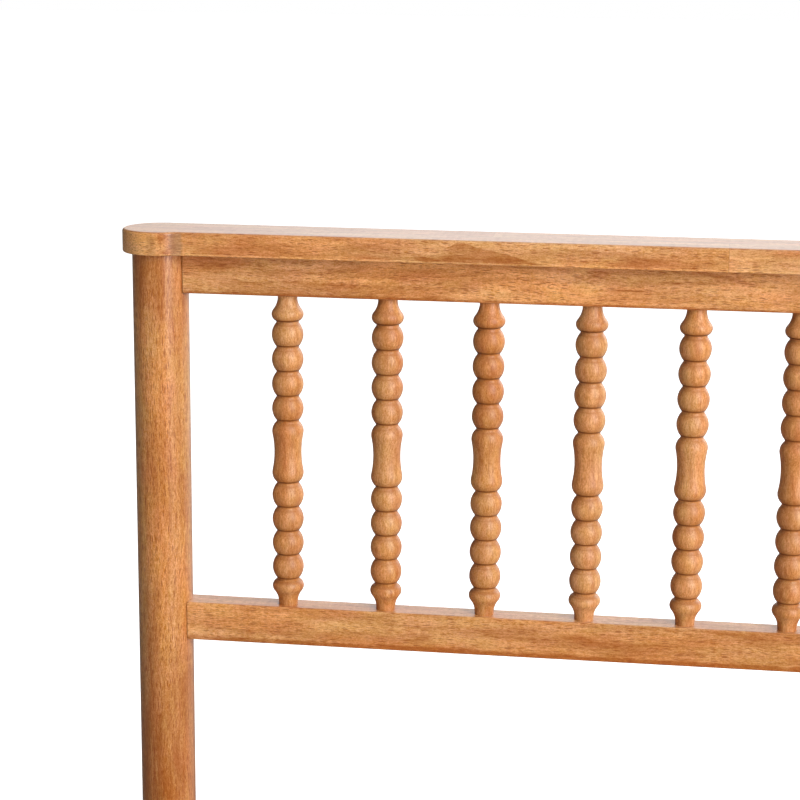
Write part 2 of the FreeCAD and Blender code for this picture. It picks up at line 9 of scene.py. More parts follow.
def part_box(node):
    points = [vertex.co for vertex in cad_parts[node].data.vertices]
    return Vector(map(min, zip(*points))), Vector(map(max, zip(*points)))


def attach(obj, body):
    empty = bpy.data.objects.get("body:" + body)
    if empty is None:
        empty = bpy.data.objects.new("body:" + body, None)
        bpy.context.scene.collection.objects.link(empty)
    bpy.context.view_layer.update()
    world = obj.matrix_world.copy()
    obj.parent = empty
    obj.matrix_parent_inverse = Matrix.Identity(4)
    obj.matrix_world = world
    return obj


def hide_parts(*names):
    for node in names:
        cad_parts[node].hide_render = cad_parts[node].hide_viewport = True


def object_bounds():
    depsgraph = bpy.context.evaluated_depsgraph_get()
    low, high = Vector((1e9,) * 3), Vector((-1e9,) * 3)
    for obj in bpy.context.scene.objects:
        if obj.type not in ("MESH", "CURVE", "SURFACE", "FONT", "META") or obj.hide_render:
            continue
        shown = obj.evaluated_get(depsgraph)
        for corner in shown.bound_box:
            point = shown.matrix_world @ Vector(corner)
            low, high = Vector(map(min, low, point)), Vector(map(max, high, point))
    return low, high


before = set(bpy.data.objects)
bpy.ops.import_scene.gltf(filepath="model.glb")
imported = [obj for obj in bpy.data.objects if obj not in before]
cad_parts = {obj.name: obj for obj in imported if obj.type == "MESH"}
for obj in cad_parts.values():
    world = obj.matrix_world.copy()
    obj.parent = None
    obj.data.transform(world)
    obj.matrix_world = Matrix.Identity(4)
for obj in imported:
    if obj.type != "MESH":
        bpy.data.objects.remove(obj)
cadBox = [list(corner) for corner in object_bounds()]
scene = bpy.context.scene
scene.view_settings.view_transform = "Standard"
print("frame loaded:", len(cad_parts), "nodes")


# camera: past the foot end, looking down at the headboard's left corner
camera = {"place": (-0.2178, -1.1753, 1.4483), "turn": 7.908, "tilt": 12.736, "roll": 0.495, "lens": 96.88}


def placeCamera():
    turn, tilt, roll = (math.radians(camera[key]) for key in ("turn", "tilt", "roll"))
    ahead = Vector((-math.sin(turn) * math.cos(tilt), math.cos(turn) * math.cos(tilt), -math.sin(tilt)))
    level = Vector((math.cos(turn), math.sin(turn), 0))
    upright = level.cross(ahead)
    right = math.cos(roll) * level + math.sin(roll) * upright
    up = math.cos(roll) * upright - math.sin(roll) * level
    lens = bpy.data.cameras.new("photoCamera")
    lens.lens = camera["lens"]
    lens.sensor_width = 36
    lens.clip_end = 60
    eye = bpy.data.objects.new("photoCamera", lens)
    scene.collection.objects.link(eye)
    eye.matrix_world = Matrix.Translation(camera["place"]) @ Matrix((right, up, -ahead)).transposed().to_4x4()
    scene.camera = eye


placeCamera()
print("camera placed")


# node helpers, for shader and geometry trees alike
def addNode(tree, kind, inputs=None, **settings):
    node = tree.nodes.new(kind)
    for name, value in settings.items():
        setattr(node, name, value)
    for key, value in (inputs or {}).items():
        setSocket(tree, node.inputs[key], value)
    return node


def setSocket(tree, socket, value):
    if isinstance(value, bpy.types.NodeSocket):
        tree.links.new(value, socket)
    else:
        socket.default_value = value


# the tree that the linked ones among some values are in
def treeOf(*values):
    return next(value.id_data for value in values if isinstance(value, bpy.types.NodeSocket))


def calc(operation, *values):
    return addNode(treeOf(*values), "ShaderNodeMath", dict(enumerate(values)), operation=operation).outputs[0]


plus, minus, times, over = (partial(calc, word) for word in ("ADD", "SUBTRACT", "MULTIPLY", "DIVIDE"))
timesPlus, larger = partial(calc, "MULTIPLY_ADD"), partial(calc, "MAXIMUM")


def vectorCalc(operation, *values):
    node = addNode(treeOf(*values), "ShaderNodeVectorMath", dict(enumerate(values)), operation=operation)
    return node.outputs["Value" if operation in ("LENGTH", "DOT_PRODUCT") else "Vector"]


def joined(x=0.0, y=0.0, z=0.0):
    return addNode(treeOf(x, y, z), "ShaderNodeCombineXYZ", {0: x, 1: y, 2: z}).outputs[0]


def split(vector):
    return addNode(vector.id_data, "ShaderNodeSeparateXYZ", {0: vector}).outputs


def spread(value, low, high, bottom=0.0, top=1.0, smooth=False):
    return addNode(value.id_data, "ShaderNodeMapRange", {0: value, 1: low, 2: high, 3: bottom, 4: top},
                   interpolation_type="SMOOTHSTEP" if smooth else "LINEAR").outputs[0]


def blendColour(amount, first, second, mode="MIX"):
    tree = treeOf(amount, first, second)
    node = addNode(tree, "ShaderNodeMix", data_type="RGBA", blend_type=mode)
    sockets = {entry.identifier: entry for entry in node.inputs}
    for identifier, value in (("Factor_Float", amount), ("A_Color", first), ("B_Color", second)):
        setSocket(tree, sockets[identifier], value)
    return next(entry for entry in node.outputs if entry.identifier == "Result_Color")


def noiseNode(vector, scale, detail, roughness=0.5):
    return addNode(vector.id_data, "ShaderNodeTexNoise", {
        "Vector": vector, "Scale": scale, "Detail": detail, "Roughness": roughness}).outputs


def readPoint(tree, name):
    return addNode(tree, "ShaderNodeAttribute", attribute_name=name).outputs["Fac"]


def objectPlace(tree):
    return addNode(tree, "ShaderNodeTexCoord").outputs["Object"]


def surfaceNormal(tree):
    return addNode(tree, "ShaderNodeNewGeometry").outputs["Normal"]


socketWords = {float: "Float", int: "Int", 3: "Vector", 4: "Color"}


# inputs: a value for each name, or the kind of socket where there is no value; outputs: a kind for each name
def newGroup(name, kind, inputs, outputs):
    tree = bpy.data.node_groups.new(name, kind)
    for label, value in inputs.items():
        bare = isinstance(value, str)
        socketKind = value if bare else socketWords[len(value) if isinstance(value, tuple) else type(value)]
        socket = tree.interface.new_socket(label, in_out="INPUT", socket_type="NodeSocket" + socketKind)
        if not bare:
            socket.default_value = value
    for label, socketKind in outputs.items():
        tree.interface.new_socket(label, in_out="OUTPUT", socket_type="NodeSocket" + socketKind)
    return tree, addNode(tree, "NodeGroupInput").outputs, addNode(tree, "NodeGroupOutput").inputs


def putOut(tree, out, results):
    for label, value in results.items():
        tree.links.new(value, out[label])
    return tree


def useGroup(group, inputs):
    return addNode(treeOf(*inputs.values()), "ShaderNodeGroup", inputs, node_tree=group).outputs


# wood figure: patches, fibres, faint rings, knots and pores, with the grain along X; each part of it repeats so often
# in a metre along and across the grain
figureScales = {
    "bend": (4.0, 9.0), "slant": (34.0, 90.0), "knot": (2.6, 9.0), "ringShift": (3.0, 22.0), "patch": (8.0, 52.0),
    "streak": (24.0, 330.0), "fibre": (150.0, 720.0), "grit": (520.0, 1000.0), "blush": (28.0, 75.0),
    "warmth": (5.0, 34.0), "crowd": (16.0, 80.0), "pore": (78.0, 620.0), "smallPore": (150.0, 1150.0), "rings": 62.0,
}


def buildWoodFigure():
    tree, given, out = newGroup("woodFigure", "ShaderNodeTree", {
        "Grain Position": (0, 0, 0), "Cut": 0.0, "Tone": 0.5, "Light Wood": (0.7, 0.4, 0.2, 1),
        "Dark Wood": (0.4, 0.2, 0.1, 1), "Pore Colour": (0.2, 0.1, 0.04, 1), "Figure": 1.0, "Pores": 0.6,
        "Knots": 0.0, "Grit": 1.0, "Heart": 0.0,
    }, {"Color": "Color", "Roughness": "Float", "Height": "Float"})

    def stretched(part):
        along, across = figureScales[part]
        return vectorCalc("MULTIPLY", place, (along, across, across))

    def noise(part, detail, roughness=0.5):
        return noiseNode(stretched(part), 1.0, detail, roughness)

    def cells(part):
        return addNode(tree, "ShaderNodeTexVoronoi", {"Vector": stretched(part), "Scale": 1.0}).outputs

    def drifted(part, amount):
        sway = vectorCalc("SUBTRACT", noise(part, 2.0)["Color"], (0.5, 0.5, 0.5))
        return vectorCalc("ADD", place, vectorCalc("MULTIPLY", sway, (0, amount, amount)))

    shift = joined(*(times(given["Cut"], share) for share in (7.3, 1.9, 3.1)))
    place = vectorCalc("ADD", given["Grain Position"], shift)
    place = drifted("bend", 0.03)  # long bends of the grain
    place = drifted("slant", 0.0022)  # short slants of the fibres

    # knots, far apart: a ring and a core
    knot = cells("knot")
    knotKept = calc("GREATER_THAN", split(knot["Color"])[0], 0.55)
    knotRing = times(spread(knot["Distance"], 0.11, 0.03, smooth=True), knotKept)
    knotCore = times(spread(knot["Distance"], 0.05, 0.02, smooth=True), knotKept)

    across = split(place)
    ring = times(vectorCalc("LENGTH", joined(0.0, across[1], across[2])), figureScales["rings"])
    ring = calc("FRACT", plus(ring, times(noise("ringShift", 1.0)["Fac"], 2.4)))
    band = times(spread(ring, 0.1, 0.93, smooth=True), spread(ring, 1.0, 0.94))
    patch = spread(noise("patch", 3.0)["Fac"], 0.40, 0.60, smooth=True)
    streak = spread(noise("streak", 3.0, 0.6)["Fac"], 0.34, 0.66)
    fibre = noise("fibre", 4.0, 0.65)["Fac"]
    grit = noise("grit", 2.0, 0.6)["Fac"]
    blush = noise("blush", 2.0)["Fac"]
    warmth = spread(noise("warmth", 2.0)["Color"], 0.4, 0.62, smooth=True)

    # pores: short dark dashes along the grain, crowded in some places and scarce in others
    crowd = spread(noise("crowd", 2.0)["Fac"], 0.35, 0.65)

    def dashes(part, kept):
        cell = cells(part)
        chosen = calc("LESS_THAN", split(cell["Color"])[0], timesPlus(crowd, kept, kept * 0.6))
        return times(spread(cell["Distance"], 0.42, 0.24), chosen)

    pore = times(larger(dashes("pore", 0.32), times(dashes("smallPore", 0.38), 0.85)), given["Pores"])

    shade = timesPlus(patch, 0.34, timesPlus(band, 0.12, timesPlus(streak, 0.36, 0.06)))
    # the added marks are figure marks, and also painted shade and painted highlight
    shade = plus(times(shade, given["Figure"]), given["Heart"])
    colour = blendColour(shade, given["Light Wood"], given["Dark Wood"])
    colour = blendColour(times(warmth, given["Figure"]), colour, (1.05, 0.93, 0.80, 1), "MULTIPLY")
    blushed = blendColour(spread(blush, 0.35, 0.65), (0.99, 1.01, 0.95, 1), (1.02, 0.97, 1.06, 1))
    colour = blendColour(given["Grit"], colour, blushed, "MULTIPLY")
    # fibres change blue most and red least, as lacquered wood does
    lift = plus(spread(fibre, 0.3, 0.7, -0.3, 0.3), spread(grit, 0.3, 0.7, -0.26, 0.26))
    lift = timesPlus(lift, given["Grit"], spread(given["Tone"], 0, 1, -0.1, 0.1))
    shares = {k: timesPlus(lift, share, 1.0) for k, share in enumerate((0.55, 1.0, 1.9))}
    colour = blendColour(1.0, colour, addNode(tree, "ShaderNodeCombineColor", shares).outputs[0], "MULTIPLY")
    knotted = [(times(knotRing, given["Knots"]), "Dark Wood"), (times(knotCore, given["Knots"]), "Pore Colour")]
    for mask, painted in knotted + [(pore, "Pore Colour")]:
        colour = blendColour(mask, colour, given[painted])
    rough = spread(plus(pore, times(fibre, 0.3)), 0, 1, 0.34, 0.6)
    return putOut(tree, out, {"Color": colour, "Roughness": rough, "Height": minus(times(fibre, 0.22), pore)})


# glued staves: each has its own cut and tone, with a fine line where two meet
def buildStaveLayout():
    tree, given, out = newGroup("staveLayout", "ShaderNodeTree", {
        "Along": 0.0, "Across": 0.0, "Stave Length": 0.6, "Stave Width": 0.05, "First Joint": 0.0, "Row Step": 0.37,
        "Line Width": 0.0005,
    }, {"Cut": "Float", "Tone": "Float", "Joint": "Float"})
    row = over(given["Across"], given["Stave Width"])
    rowIndex = calc("FLOOR", row)
    column = over(minus(given["Along"], given["First Joint"]), given["Stave Length"])
    column = plus(column, times(rowIndex, given["Row Step"]))
    columnIndex = calc("FLOOR", column)
    drawn = addNode(tree, "ShaderNodeTexWhiteNoise", {"Vector": joined(rowIndex, columnIndex, 0.5)}).outputs

    def nearLine(value, size):
        middle = calc("ABSOLUTE", minus(calc("FRACT", value), 0.5))
        gap = times(minus(0.5, middle), size)
        return spread(gap, 0.0, given["Line Width"], 1.0, 0.0)

    joint = larger(nearLine(column, given["Stave Length"]), nearLine(row, given["Stave Width"]))
    return putOut(tree, out, {"Cut": split(drawn["Color"])[1], "Tone": drawn["Value"], "Joint": joint})


# darker heartwood under a roof line: its peak, the fall of the line on each side, and where it ends along the grain
def buildHeartRoof():
    tree, given, out = newGroup("heartRoof", "ShaderNodeTree", {
        "Along": 0.0, "Up": 0.0, "Peak Along": 0.0, "Peak Up": 0.0, "Left Fall": 0.5, "Right Fall": 0.1,
        "From": -0.1, "To": 0.1, "Fade": 0.02, "Edge": 0.001, "Deep": 0.03,
    }, {"Mask": "Float"})
    wobble = noiseNode(joined(given["Along"], given["Up"]), 30.0, 4.0, 0.6)["Fac"]
    beyond = minus(given["Along"], given["Peak Along"])
    leftFall = times(larger(times(beyond, -1.0), 0.0), given["Left Fall"])
    rightFall = times(larger(beyond, 0.0), given["Right Fall"])
    line = minus(given["Peak Up"], plus(leftFall, rightFall))
    line = plus(line, spread(wobble, 0.0, 1.0, -0.003, 0.003))
    under = minus(line, given["Up"])
    mask = times(spread(under, 0.0, given["Edge"]), spread(under, 0.0, given["Deep"], 1.0, 0.45))
    start = spread(given["Along"], given["From"], plus(given["From"], given["Fade"]), smooth=True)
    stop = spread(given["Along"], given["To"], minus(given["To"], given["Fade"]), smooth=True)
    return putOut(tree, out, {"Mask": times(mask, times(start, stop))})


# an uneven oval, with rings when asked for; it draws eyes in the figure, and long thin painted shade and highlight
# lines
def buildOvalMark():
    tree, given, out = newGroup("heartEye", "ShaderNodeTree", {
        "Along": 0.0, "Up": 0.0, "Centre Along": 0.0, "Centre Up": 0.0, "Half Length": 0.02, "Half Height": 0.006,
        "Tilt": 0.0, "Rings": 0.0,
    }, {"Mask": "Float"})
    wobble = noiseNode(joined(given["Along"], given["Up"]), 70.0, 3.0)["Fac"]
    beyond = minus(given["Along"], given["Centre Along"])
    above = minus(minus(given["Up"], given["Centre Up"]), times(beyond, given["Tilt"]))
    reach = vectorCalc("LENGTH", joined(over(beyond, given["Half Length"]), over(above, given["Half Height"])))
    reach = plus(reach, spread(wobble, 0.0, 1.0, -0.5, 0.5))
    ring = calc("COSINE", times(reach, 13.0))
    ring = minus(1.0, times(spread(ring, -1.0, 1.0), given["Rings"]))
    return putOut(tree, out, {"Mask": times(spread(reach, 1.0, 0.45, smooth=True), ring)})


# end grain: darker and greyer where a surface cuts across the fibres
def buildEndGrain():
    tree, given, out = newGroup("endGrain", "ShaderNodeTree", {
        "Color": (0.5, 0.3, 0.1, 1), "Fibres": (1, 0, 0), "Amount": 0.5,
    }, {"Color": "Color"})
    across = calc("ABSOLUTE", vectorCalc("DOT_PRODUCT", surfaceNormal(tree), given["Fibres"]))
    mask = times(spread(across, 0.15, 0.75, smooth=True), given["Amount"])
    darker = blendColour(1.0, given["Color"], (0.62, 0.66, 0.85, 1), "MULTIPLY")
    return putOut(tree, out, {"Color": blendColour(mask, given["Color"], darker)})


# edge wear and sheen: proud edges lighten, unevenly; on metal and paint real wear, on wood part wear and part painted
# highlight
def buildEdgeWearAndSheen():
    tree, given, out = newGroup("edgeWear", "ShaderNodeTree", {
        "Position": (0, 0, 0), "Width": 0.002, "Amount": 0.3,
    }, {"Mask": "Float"})
    rounded = addNode(tree, "ShaderNodeBevel", {"Radius": given["Width"]}, samples=4).outputs[0]
    broken = noiseNode(given["Position"], 130.0, 3.0)["Fac"]
    edge = spread(vectorCalc("DOT_PRODUCT", rounded, surfaceNormal(tree)), 0.99, 0.9)
    mask = times(edge, spread(broken, 0.35, 0.65))
    return putOut(tree, out, {"Mask": times(mask, given["Amount"])})


woodFigure = buildWoodFigure()
staveLayout = buildStaveLayout()
edgeWear = buildEdgeWearAndSheen()
endGrain = buildEndGrain()
heartRoof = buildHeartRoof()
heartEye = buildOvalMark()


def newMaterial(name):
    material = bpy.data.materials.new(name)
    material.use_nodes = True
    tree = material.node_tree
    tree.nodes.clear()
    shader = addNode(tree, "ShaderNodeBsdfPrincipled")
    tree.links.new(shader.outputs[0], addNode(tree, "ShaderNodeOutputMaterial").inputs[0])
    return material, tree, shader


# gives a shader its small relief, and the sockets that are named
def dress(tree, shader, height, strength, distance, **sockets):
    relief = addNode(tree, "ShaderNodeBump", {"Height": height, "Strength": strength, "Distance": distance})
    tree.links.new(relief.outputs[0], shader.inputs["Normal"])
    for name, value in sockets.items():
        setSocket(tree, shader.inputs[spaced(name)], value)


# coatRoughness -> Coat Roughness
def spaced(name):
    return "".join(" " + letter if letter.isupper() else letter for letter in name).title()


honey = {
    "Light Wood": (0.778, 0.421, 0.167, 1), "Dark Wood": (0.415, 0.143, 0.030, 1),
    "Pore Colour": (0.29, 0.060, 0.004, 1), "Groove Colour": (0.20, 0.058, 0.004, 1),
    "Figure": 1.0, "Pores": 0.7, "Knots": 0.0, "Grit": 1.0,
}
turnedHoney = {**honey, "Light Wood": (0.742, 0.394, 0.153, 1), "Dark Wood": (0.410, 0.135, 0.026, 1), "Pores": 0.3}
pine = {
    "Light Wood": (0.78, 0.58, 0.35, 1), "Dark Wood": (0.58, 0.36, 0.17, 1), "Pore Colour": (0.30, 0.15, 0.06, 1),
    "Groove Colour": (0.30, 0.15, 0.06, 1), "Figure": 0.9, "Pores": 0.12, "Knots": 0.8, "Grit": 0.5,
}
beech = {
    "Light Wood": (0.66, 0.45, 0.27, 1), "Dark Wood": (0.50, 0.31, 0.17, 1), "Pore Colour": (0.28, 0.15, 0.07, 1),
    "Groove Colour": (0.28, 0.15, 0.07, 1), "Figure": 0.6, "Pores": 0.5, "Knots": 0.0, "Grit": 0.6,
}
lacquer = {"coat": 1.0, "coatRoughness": 0.28, "shine": 0.15, "dull": 0.0, "bump": 0.02, "bumpDepth": 0.0006,
           "wear": 0.15, "endGrain": 0.7}
turnedLacquer = {**lacquer, "coat": 0.75, "coatRoughness": 0.5, "endGrain": 0.15}
boardLacquer = {**lacquer, "coat": 0.3, "coatRoughness": 0.6, "dull": 0.25}
bareWood = {**lacquer, "coat": 0.0, "dull": 0.32, "bump": 0.3, "wear": 0.25, "endGrain": 0.6}


# darker or (with a negative depth) paler marks, as seen from the bed's side; an eye's row gives its depth, centre
# along and up, half length and height, tilt and rings, and a roof's row its depth and the nine values of its group
markColumns = {
    "eye": ("Centre Along", "Centre Up", "Half Length", "Half Height", "Tilt", "Rings"),
    "roof": ("Peak Along", "Peak Up", "Left Fall", "Right Fall", "From", "To", "Fade", "Edge", "Deep"),
}
# cap marks: figure, a paler cap end, a painted highlight line along the lower front edge (z 1.0953), and painted shade
# by the hollow (x -0.7705)
capFigureAndPaintedLight = [
    (0.5, -0.463, 1.1195, 0.6, 0.245, -0.49, -0.35, 0.03),
    (0.4, -0.294, 1.1095, 0.6, 0.065, -0.33, -0.195, 0.05), (-0.9, -0.822, 1.1075, 0.058, 0.08),
    (-0.6, 0.0, 1.0953, 4.0, 0.0025), (-0.2, -0.29, 1.1075, 0.19, 0.12), (0.4, -0.7705, 1.1075, 0.013, 0.08),
    (0.4, -0.497, 1.0995, 0.018, 0.0035, -0.1),
]
# rail marks: figure and tone, and three long dark lines that are painted shade: under the cap (z 1.095), along the top
# rail's lower edge (1.052) and along the spindle rail's lower edge (0.665)
railFigureAndPaintedShade = [
    (0.4, -0.64, 1.069, 0.03, 0.014, -0.735, -0.45, 0.05, 0.0012, 0.08),
    (0.3, -0.722, 1.08, 0.022, 0.007, -0.12, 0.5), (0.55, -0.322, 1.0845, 0.017, 0.0075, 0.1, 0.8),
    (0.12, -0.504, 1.0815, 0.024, 0.007), (0.5, -0.243, 1.0795, 0.015, 0.0022),
    (0.7, -0.285, 1.07, 0.022, 0.0012), (0.4, -0.195, 1.0875, 0.04, 0.003, -0.17),
    (-0.3, -0.428, 1.0665, 0.024, 0.008), (-0.3, -0.6, 1.0725, 0.045, 0.0045),
    (-0.3, -0.553, 1.0725, 0.035, 0.004), (-0.12, -0.47, 1.07, 0.12, 0.09), (1.0, 0.0, 1.095, 4.0, 0.003),
    (0.6, 0.0, 1.052, 4.0, 0.004), (0.65, 0.0, 0.665, 4.0, 0.0075), (-0.2, -0.25, 1.073, 0.18, 0.09),
    (-0.3, -0.68, 0.69, 0.26, 0.09), (0.12, -0.22, 0.69, 0.15, 0.09),
]
# posts: darker lower down and just below the cap, on the left posts
postDarkerZones = [
    (0.33, -0.786, 0.54, 0.09, 0.17), (0.2, -0.786, 1.075, 0.09, 0.06),
]


def addedMarks(tree, axis, marks):
    total = 0.0
    for depth, *sizes in marks:
        kind, group = ("roof", heartRoof) if len(sizes) > len(markColumns["eye"]) else ("eye", heartEye)
        mark = {"Along": axis[0], "Up": axis[2], **dict(zip(markColumns[kind], sizes))}
        total = timesPlus(useGroup(group, mark)["Mask"], depth, total)
    if marks:
        total = times(total, spread(split(surfaceNormal(tree))[2], 0.3, 0.8, 1.0, 0.0))  # not on faces that look up
    return total


# painted shade and painted reflection in the cap's hollow: a darker, greyer patch
capHollowShadeAndReflection = [(0.35, -0.761, 1.1075, 0.0085, 0.04)]
hollowShadeAndReflectionColour = (0.21, 0.18, 0.135, 1)


def woodMaterial(name, grain, palette, finish, staves=None, heart=(), haze=()):
    material, tree, shader = newMaterial(name)
    place = objectPlace(tree)
    axis = split(place)
    order = {"X": (0, 1, 2), "Y": (1, 2, 0), "Z": (2, 0, 1)}[grain]
    cut, tone, joint = readPoint(tree, "cut"), readPoint(tree, "tone"), None
    if staves:
        layout = {spaced(key): value for key, value in staves.items() if key not in ("across", "start")}
        offset = minus(calc("ABSOLUTE", axis[staves["across"]]), staves["start"])
        laid = useGroup(staveLayout, {"Along": axis[order[0]], "Across": offset, **layout})
        cut, tone, joint = plus(cut, laid["Cut"]), laid["Tone"], laid["Joint"]
    painted = {key: value for key, value in palette.items() if key != "Groove Colour"}
    figure = useGroup(woodFigure, {
        "Grain Position": joined(*(axis[k] for k in order)), "Cut": cut, "Tone": tone,
        "Heart": addedMarks(tree, axis, heart), **painted})
    colour = figure["Color"]
    if joint:
        colour = blendColour(times(joint, 0.4), colour, palette["Groove Colour"])
    fibres = [float(grain == letter) for letter in "XYZ"]
    colour = useGroup(endGrain, {"Color": colour, "Fibres": fibres, "Amount": finish["endGrain"]})["Color"]
    # painted shade and painted reflection over the cap's hollow
    if haze:
        colour = blendColour(addedMarks(tree, axis, haze), colour, hollowShadeAndReflectionColour)
    # darker on a band just below each groove
    colour = blendColour(times(readPoint(tree, "shoulder"), 0.6), colour, palette["Dark Wood"])
    # painted shade: darker towards each groove and at a spindle's foot, with a dark painted shadow line just above each
    # groove
    groove = readPoint(tree, "groove")
    colour = blendColour(times(calc("POWER", groove, 1.6), 0.55), colour, palette["Dark Wood"])
    colour = blendColour(spread(groove, 0.80, 0.93), colour, palette["Groove Colour"])
    # proud edges lightened: part wear, part painted highlight where eased edges catch the light
    worn = useGroup(edgeWear, {"Position": place, "Width": 0.0016, "Amount": finish["wear"]})["Mask"]
    colour = blendColour(worn, colour, palette["Light Wood"])
    dress(tree, shader, figure["Height"], finish["bump"], finish["bumpDepth"], baseColor=colour,
          roughness=plus(figure["Roughness"], finish["dull"]), coatWeight=finish["coat"],
          coatRoughness=finish["coatRoughness"])
    shader.inputs["Specular IOR Level"].default_value = finish["shine"]
    shader.inputs["Coat IOR"].default_value = 1.5
    return material


capStaves = {"across": 1, "start": 1.005, "staveLength": 0.66, "staveWidth": 0.040, "firstJoint": -0.1858,
             "rowStep": 0.37}
boardStaves = {"across": 2, "start": 0.25, "staveLength": 0.53, "staveWidth": 0.050, "firstJoint": 0.11,
               "rowStep": 0.41}
honeyRail = woodMaterial("honeyRail", "X", honey, lacquer, heart=railFigureAndPaintedShade)
honeySide = woodMaterial("honeySide", "Y", honey, boardLacquer, boardStaves)
honeyPost = woodMaterial("honeyPost", "Z", honey, lacquer, heart=postDarkerZones)
honeyTurned = woodMaterial("honeyTurned", "Z", turnedHoney, turnedLacquer)
honeyCap = woodMaterial("honeyCap", "X", honey, {**lacquer, "endGrain": 0.03}, capStaves, capFigureAndPaintedLight, capHollowShadeAndReflection)
honeyBoard = woodMaterial("honeyBoard", "X", honey, boardLacquer, boardStaves)
pineSlat = woodMaterial("pineSlat", "X", pine, bareWood)
pineBeam = woodMaterial("pineBeam", "Y", pine, bareWood)
pineLeg = woodMaterial("pineLeg", "Z", pine, bareWood)
beechDowel = woodMaterial("beechDowel", "X", beech, bareWood)
beechPeg = woodMaterial("beechPeg", "Z", beech, bareWood)


def metalMaterial(name, colour, tarnish, roughness):
    material, tree, shader = newMaterial(name)
    place = objectPlace(tree)
    cloud = noiseNode(place, 220.0, 4.0)["Fac"]
    worn = useGroup(edgeWear, {"Position": place, "Width": 0.0006, "Amount": 0.6})["Mask"]
    tint = blendColour(spread(cloud, 0.35, 0.7), colour, tarnish)
    dress(tree, shader, noiseNode(place, 2600.0, 2.0)["Fac"], 0.12, 0.0002, metallic=1.0,
          baseColor=blendColour(worn, tint, (0.8, 0.8, 0.8, 1)),
          roughness=spread(cloud, 0.3, 0.7, roughness, roughness + 0.16))
    return material


def coatedMaterial(name, colour, scuffed, roughness, grit, depth):
    material, tree, shader = newMaterial(name)
    place = objectPlace(tree)
    scuff = noiseNode(place, 60.0, 5.0)["Fac"]
    worn = useGroup(edgeWear, {"Position": place, "Width": 0.0008, "Amount": 0.5})["Mask"]
    tint = blendColour(spread(scuff, 0.5, 0.75), colour, scuffed)
    dress(tree, shader, noiseNode(place, grit, 2.0)["Fac"], 0.3, depth,
          baseColor=blendColour(worn, tint, (0.11, 0.11, 0.11, 1)),
          roughness=spread(scuff, 0.3, 0.7, roughness, roughness + 0.15))
    return material


zincPlate = metalMaterial("zincPlate", (0.66, 0.67, 0.69, 1), (0.47, 0.47, 0.46, 1), 0.26)
blackPowder = coatedMaterial("blackPowder", (0.028, 0.028, 0.03, 1), (0.05, 0.05, 0.052, 1), 0.45, 1400.0, 0.0003)
blackNylon = coatedMaterial("blackNylon", (0.03, 0.03, 0.032, 1), (0.06, 0.06, 0.06, 1), 0.5, 2200.0, 0.0002)
print("materials built")


# mesh helpers
def onStage(data, name="draft"):
    draft = bpy.data.objects.new(name, data)
    scene.collection.objects.link(draft)
    return draft


def formFrom(*meshes):
    form = bmesh.new()
    for mesh in meshes:
        form.from_mesh(mesh)
    return form


def modified(mesh, kind, **settings):
    draft = onStage(mesh)
    step = draft.modifiers.new("step", kind)
    for name, value in settings.items():
        setattr(step, name, value)
    return keepMesh(draft)


def keepMesh(draft):
    bpy.context.view_layer.update()
    graph = bpy.context.evaluated_depsgraph_get()
    mesh = bpy.data.meshes.new_from_object(draft.evaluated_get(graph))
    bpy.data.objects.remove(draft)
    return mesh


def meshFrom(form, name):
    mesh = bpy.data.meshes.new(name)
    form.to_mesh(mesh)
    form.free()
    return mesh


def facingOut(mesh):
    form = formFrom(mesh)
    if form.calc_volume(signed=True) < 0:
        bmesh.ops.reverse_faces(form, faces=form.faces)
    form.to_mesh(mesh)
    form.free()
    return mesh


def together(*meshes):
    return meshFrom(formFrom(*meshes), "together")


def cutAway(mesh, tools):
    draft = onStage(mesh)
    cutters = [onStage(tool, "cutter") for tool in tools]
    for cutter in cutters:
        step = draft.modifiers.new("cut", "BOOLEAN")
        step.object = cutter
        step.solver = "EXACT"
    kept = keepMesh(draft)
    for cutter in cutters:
        bpy.data.objects.remove(cutter)
    return kept


def soften(mesh, width, steps=3, angle=30):
    return modified(mesh, "BEVEL", width=width, segments=steps, limit_method="ANGLE", angle_limit=math.radians(angle))


# smooth curves, sharp edges, and flat faces that stay flat
def settle(mesh, sharp=40):
    mesh.shade_smooth()
    mesh.set_sharp_from_angle(angle=math.radians(sharp))
    return modified(mesh, "WEIGHTED_NORMAL", keep_sharp=True)


def blockMesh(low, high):
    form = bmesh.new()
    bmesh.ops.create_cube(form, size=1.0)
    low, high = Vector(low), Vector(high)
    bmesh.ops.scale(form, vec=high - low, verts=form.verts)
    bmesh.ops.translate(form, vec=(low + high) / 2, verts=form.verts)
    return meshFrom(form, "block")


def drillMesh(start, end, radius, sides=40):
    start, end = Vector(start), Vector(end)
    form = bmesh.new()
    bmesh.ops.create_cone(form, cap_ends=True, segments=sides, radius1=radius, radius2=radius,
                          depth=(end - start).length)
    aim = (end - start).to_track_quat("Z", "Y").to_matrix().to_4x4()
    bmesh.ops.transform(form, matrix=Matrix.Translation((start + end) / 2) @ aim, verts=form.verts)
    return meshFrom(form, "drill")


# a board eased all round, or along one axis alone where its ends butt on posts
def boardMesh(low, high, ease, bores=(), axis=None):
    if axis is None:
        mesh = soften(blockMesh(low, high), ease)
    else:
        form = formFrom(blockMesh(low, high))
        long = [edge for edge in form.edges if abs(edge.verts[0].co[axis] - edge.verts[1].co[axis]) > ease]
        bmesh.ops.bevel(form, geom=long, offset=ease, segments=3, profile=0.5, affect="EDGES")
        mesh = meshFrom(form, "board")
    return settle(cutAway(mesh, [drillMesh(*bore) for bore in bores]) if bores else mesh)


def bridge(form, loops):
    for lower, upper in zip(loops, loops[1:]):
        for k in range(len(lower)):
            after = (k + 1) % len(lower)
            form.faces.new((lower[k], lower[after], upper[after], upper[k]))


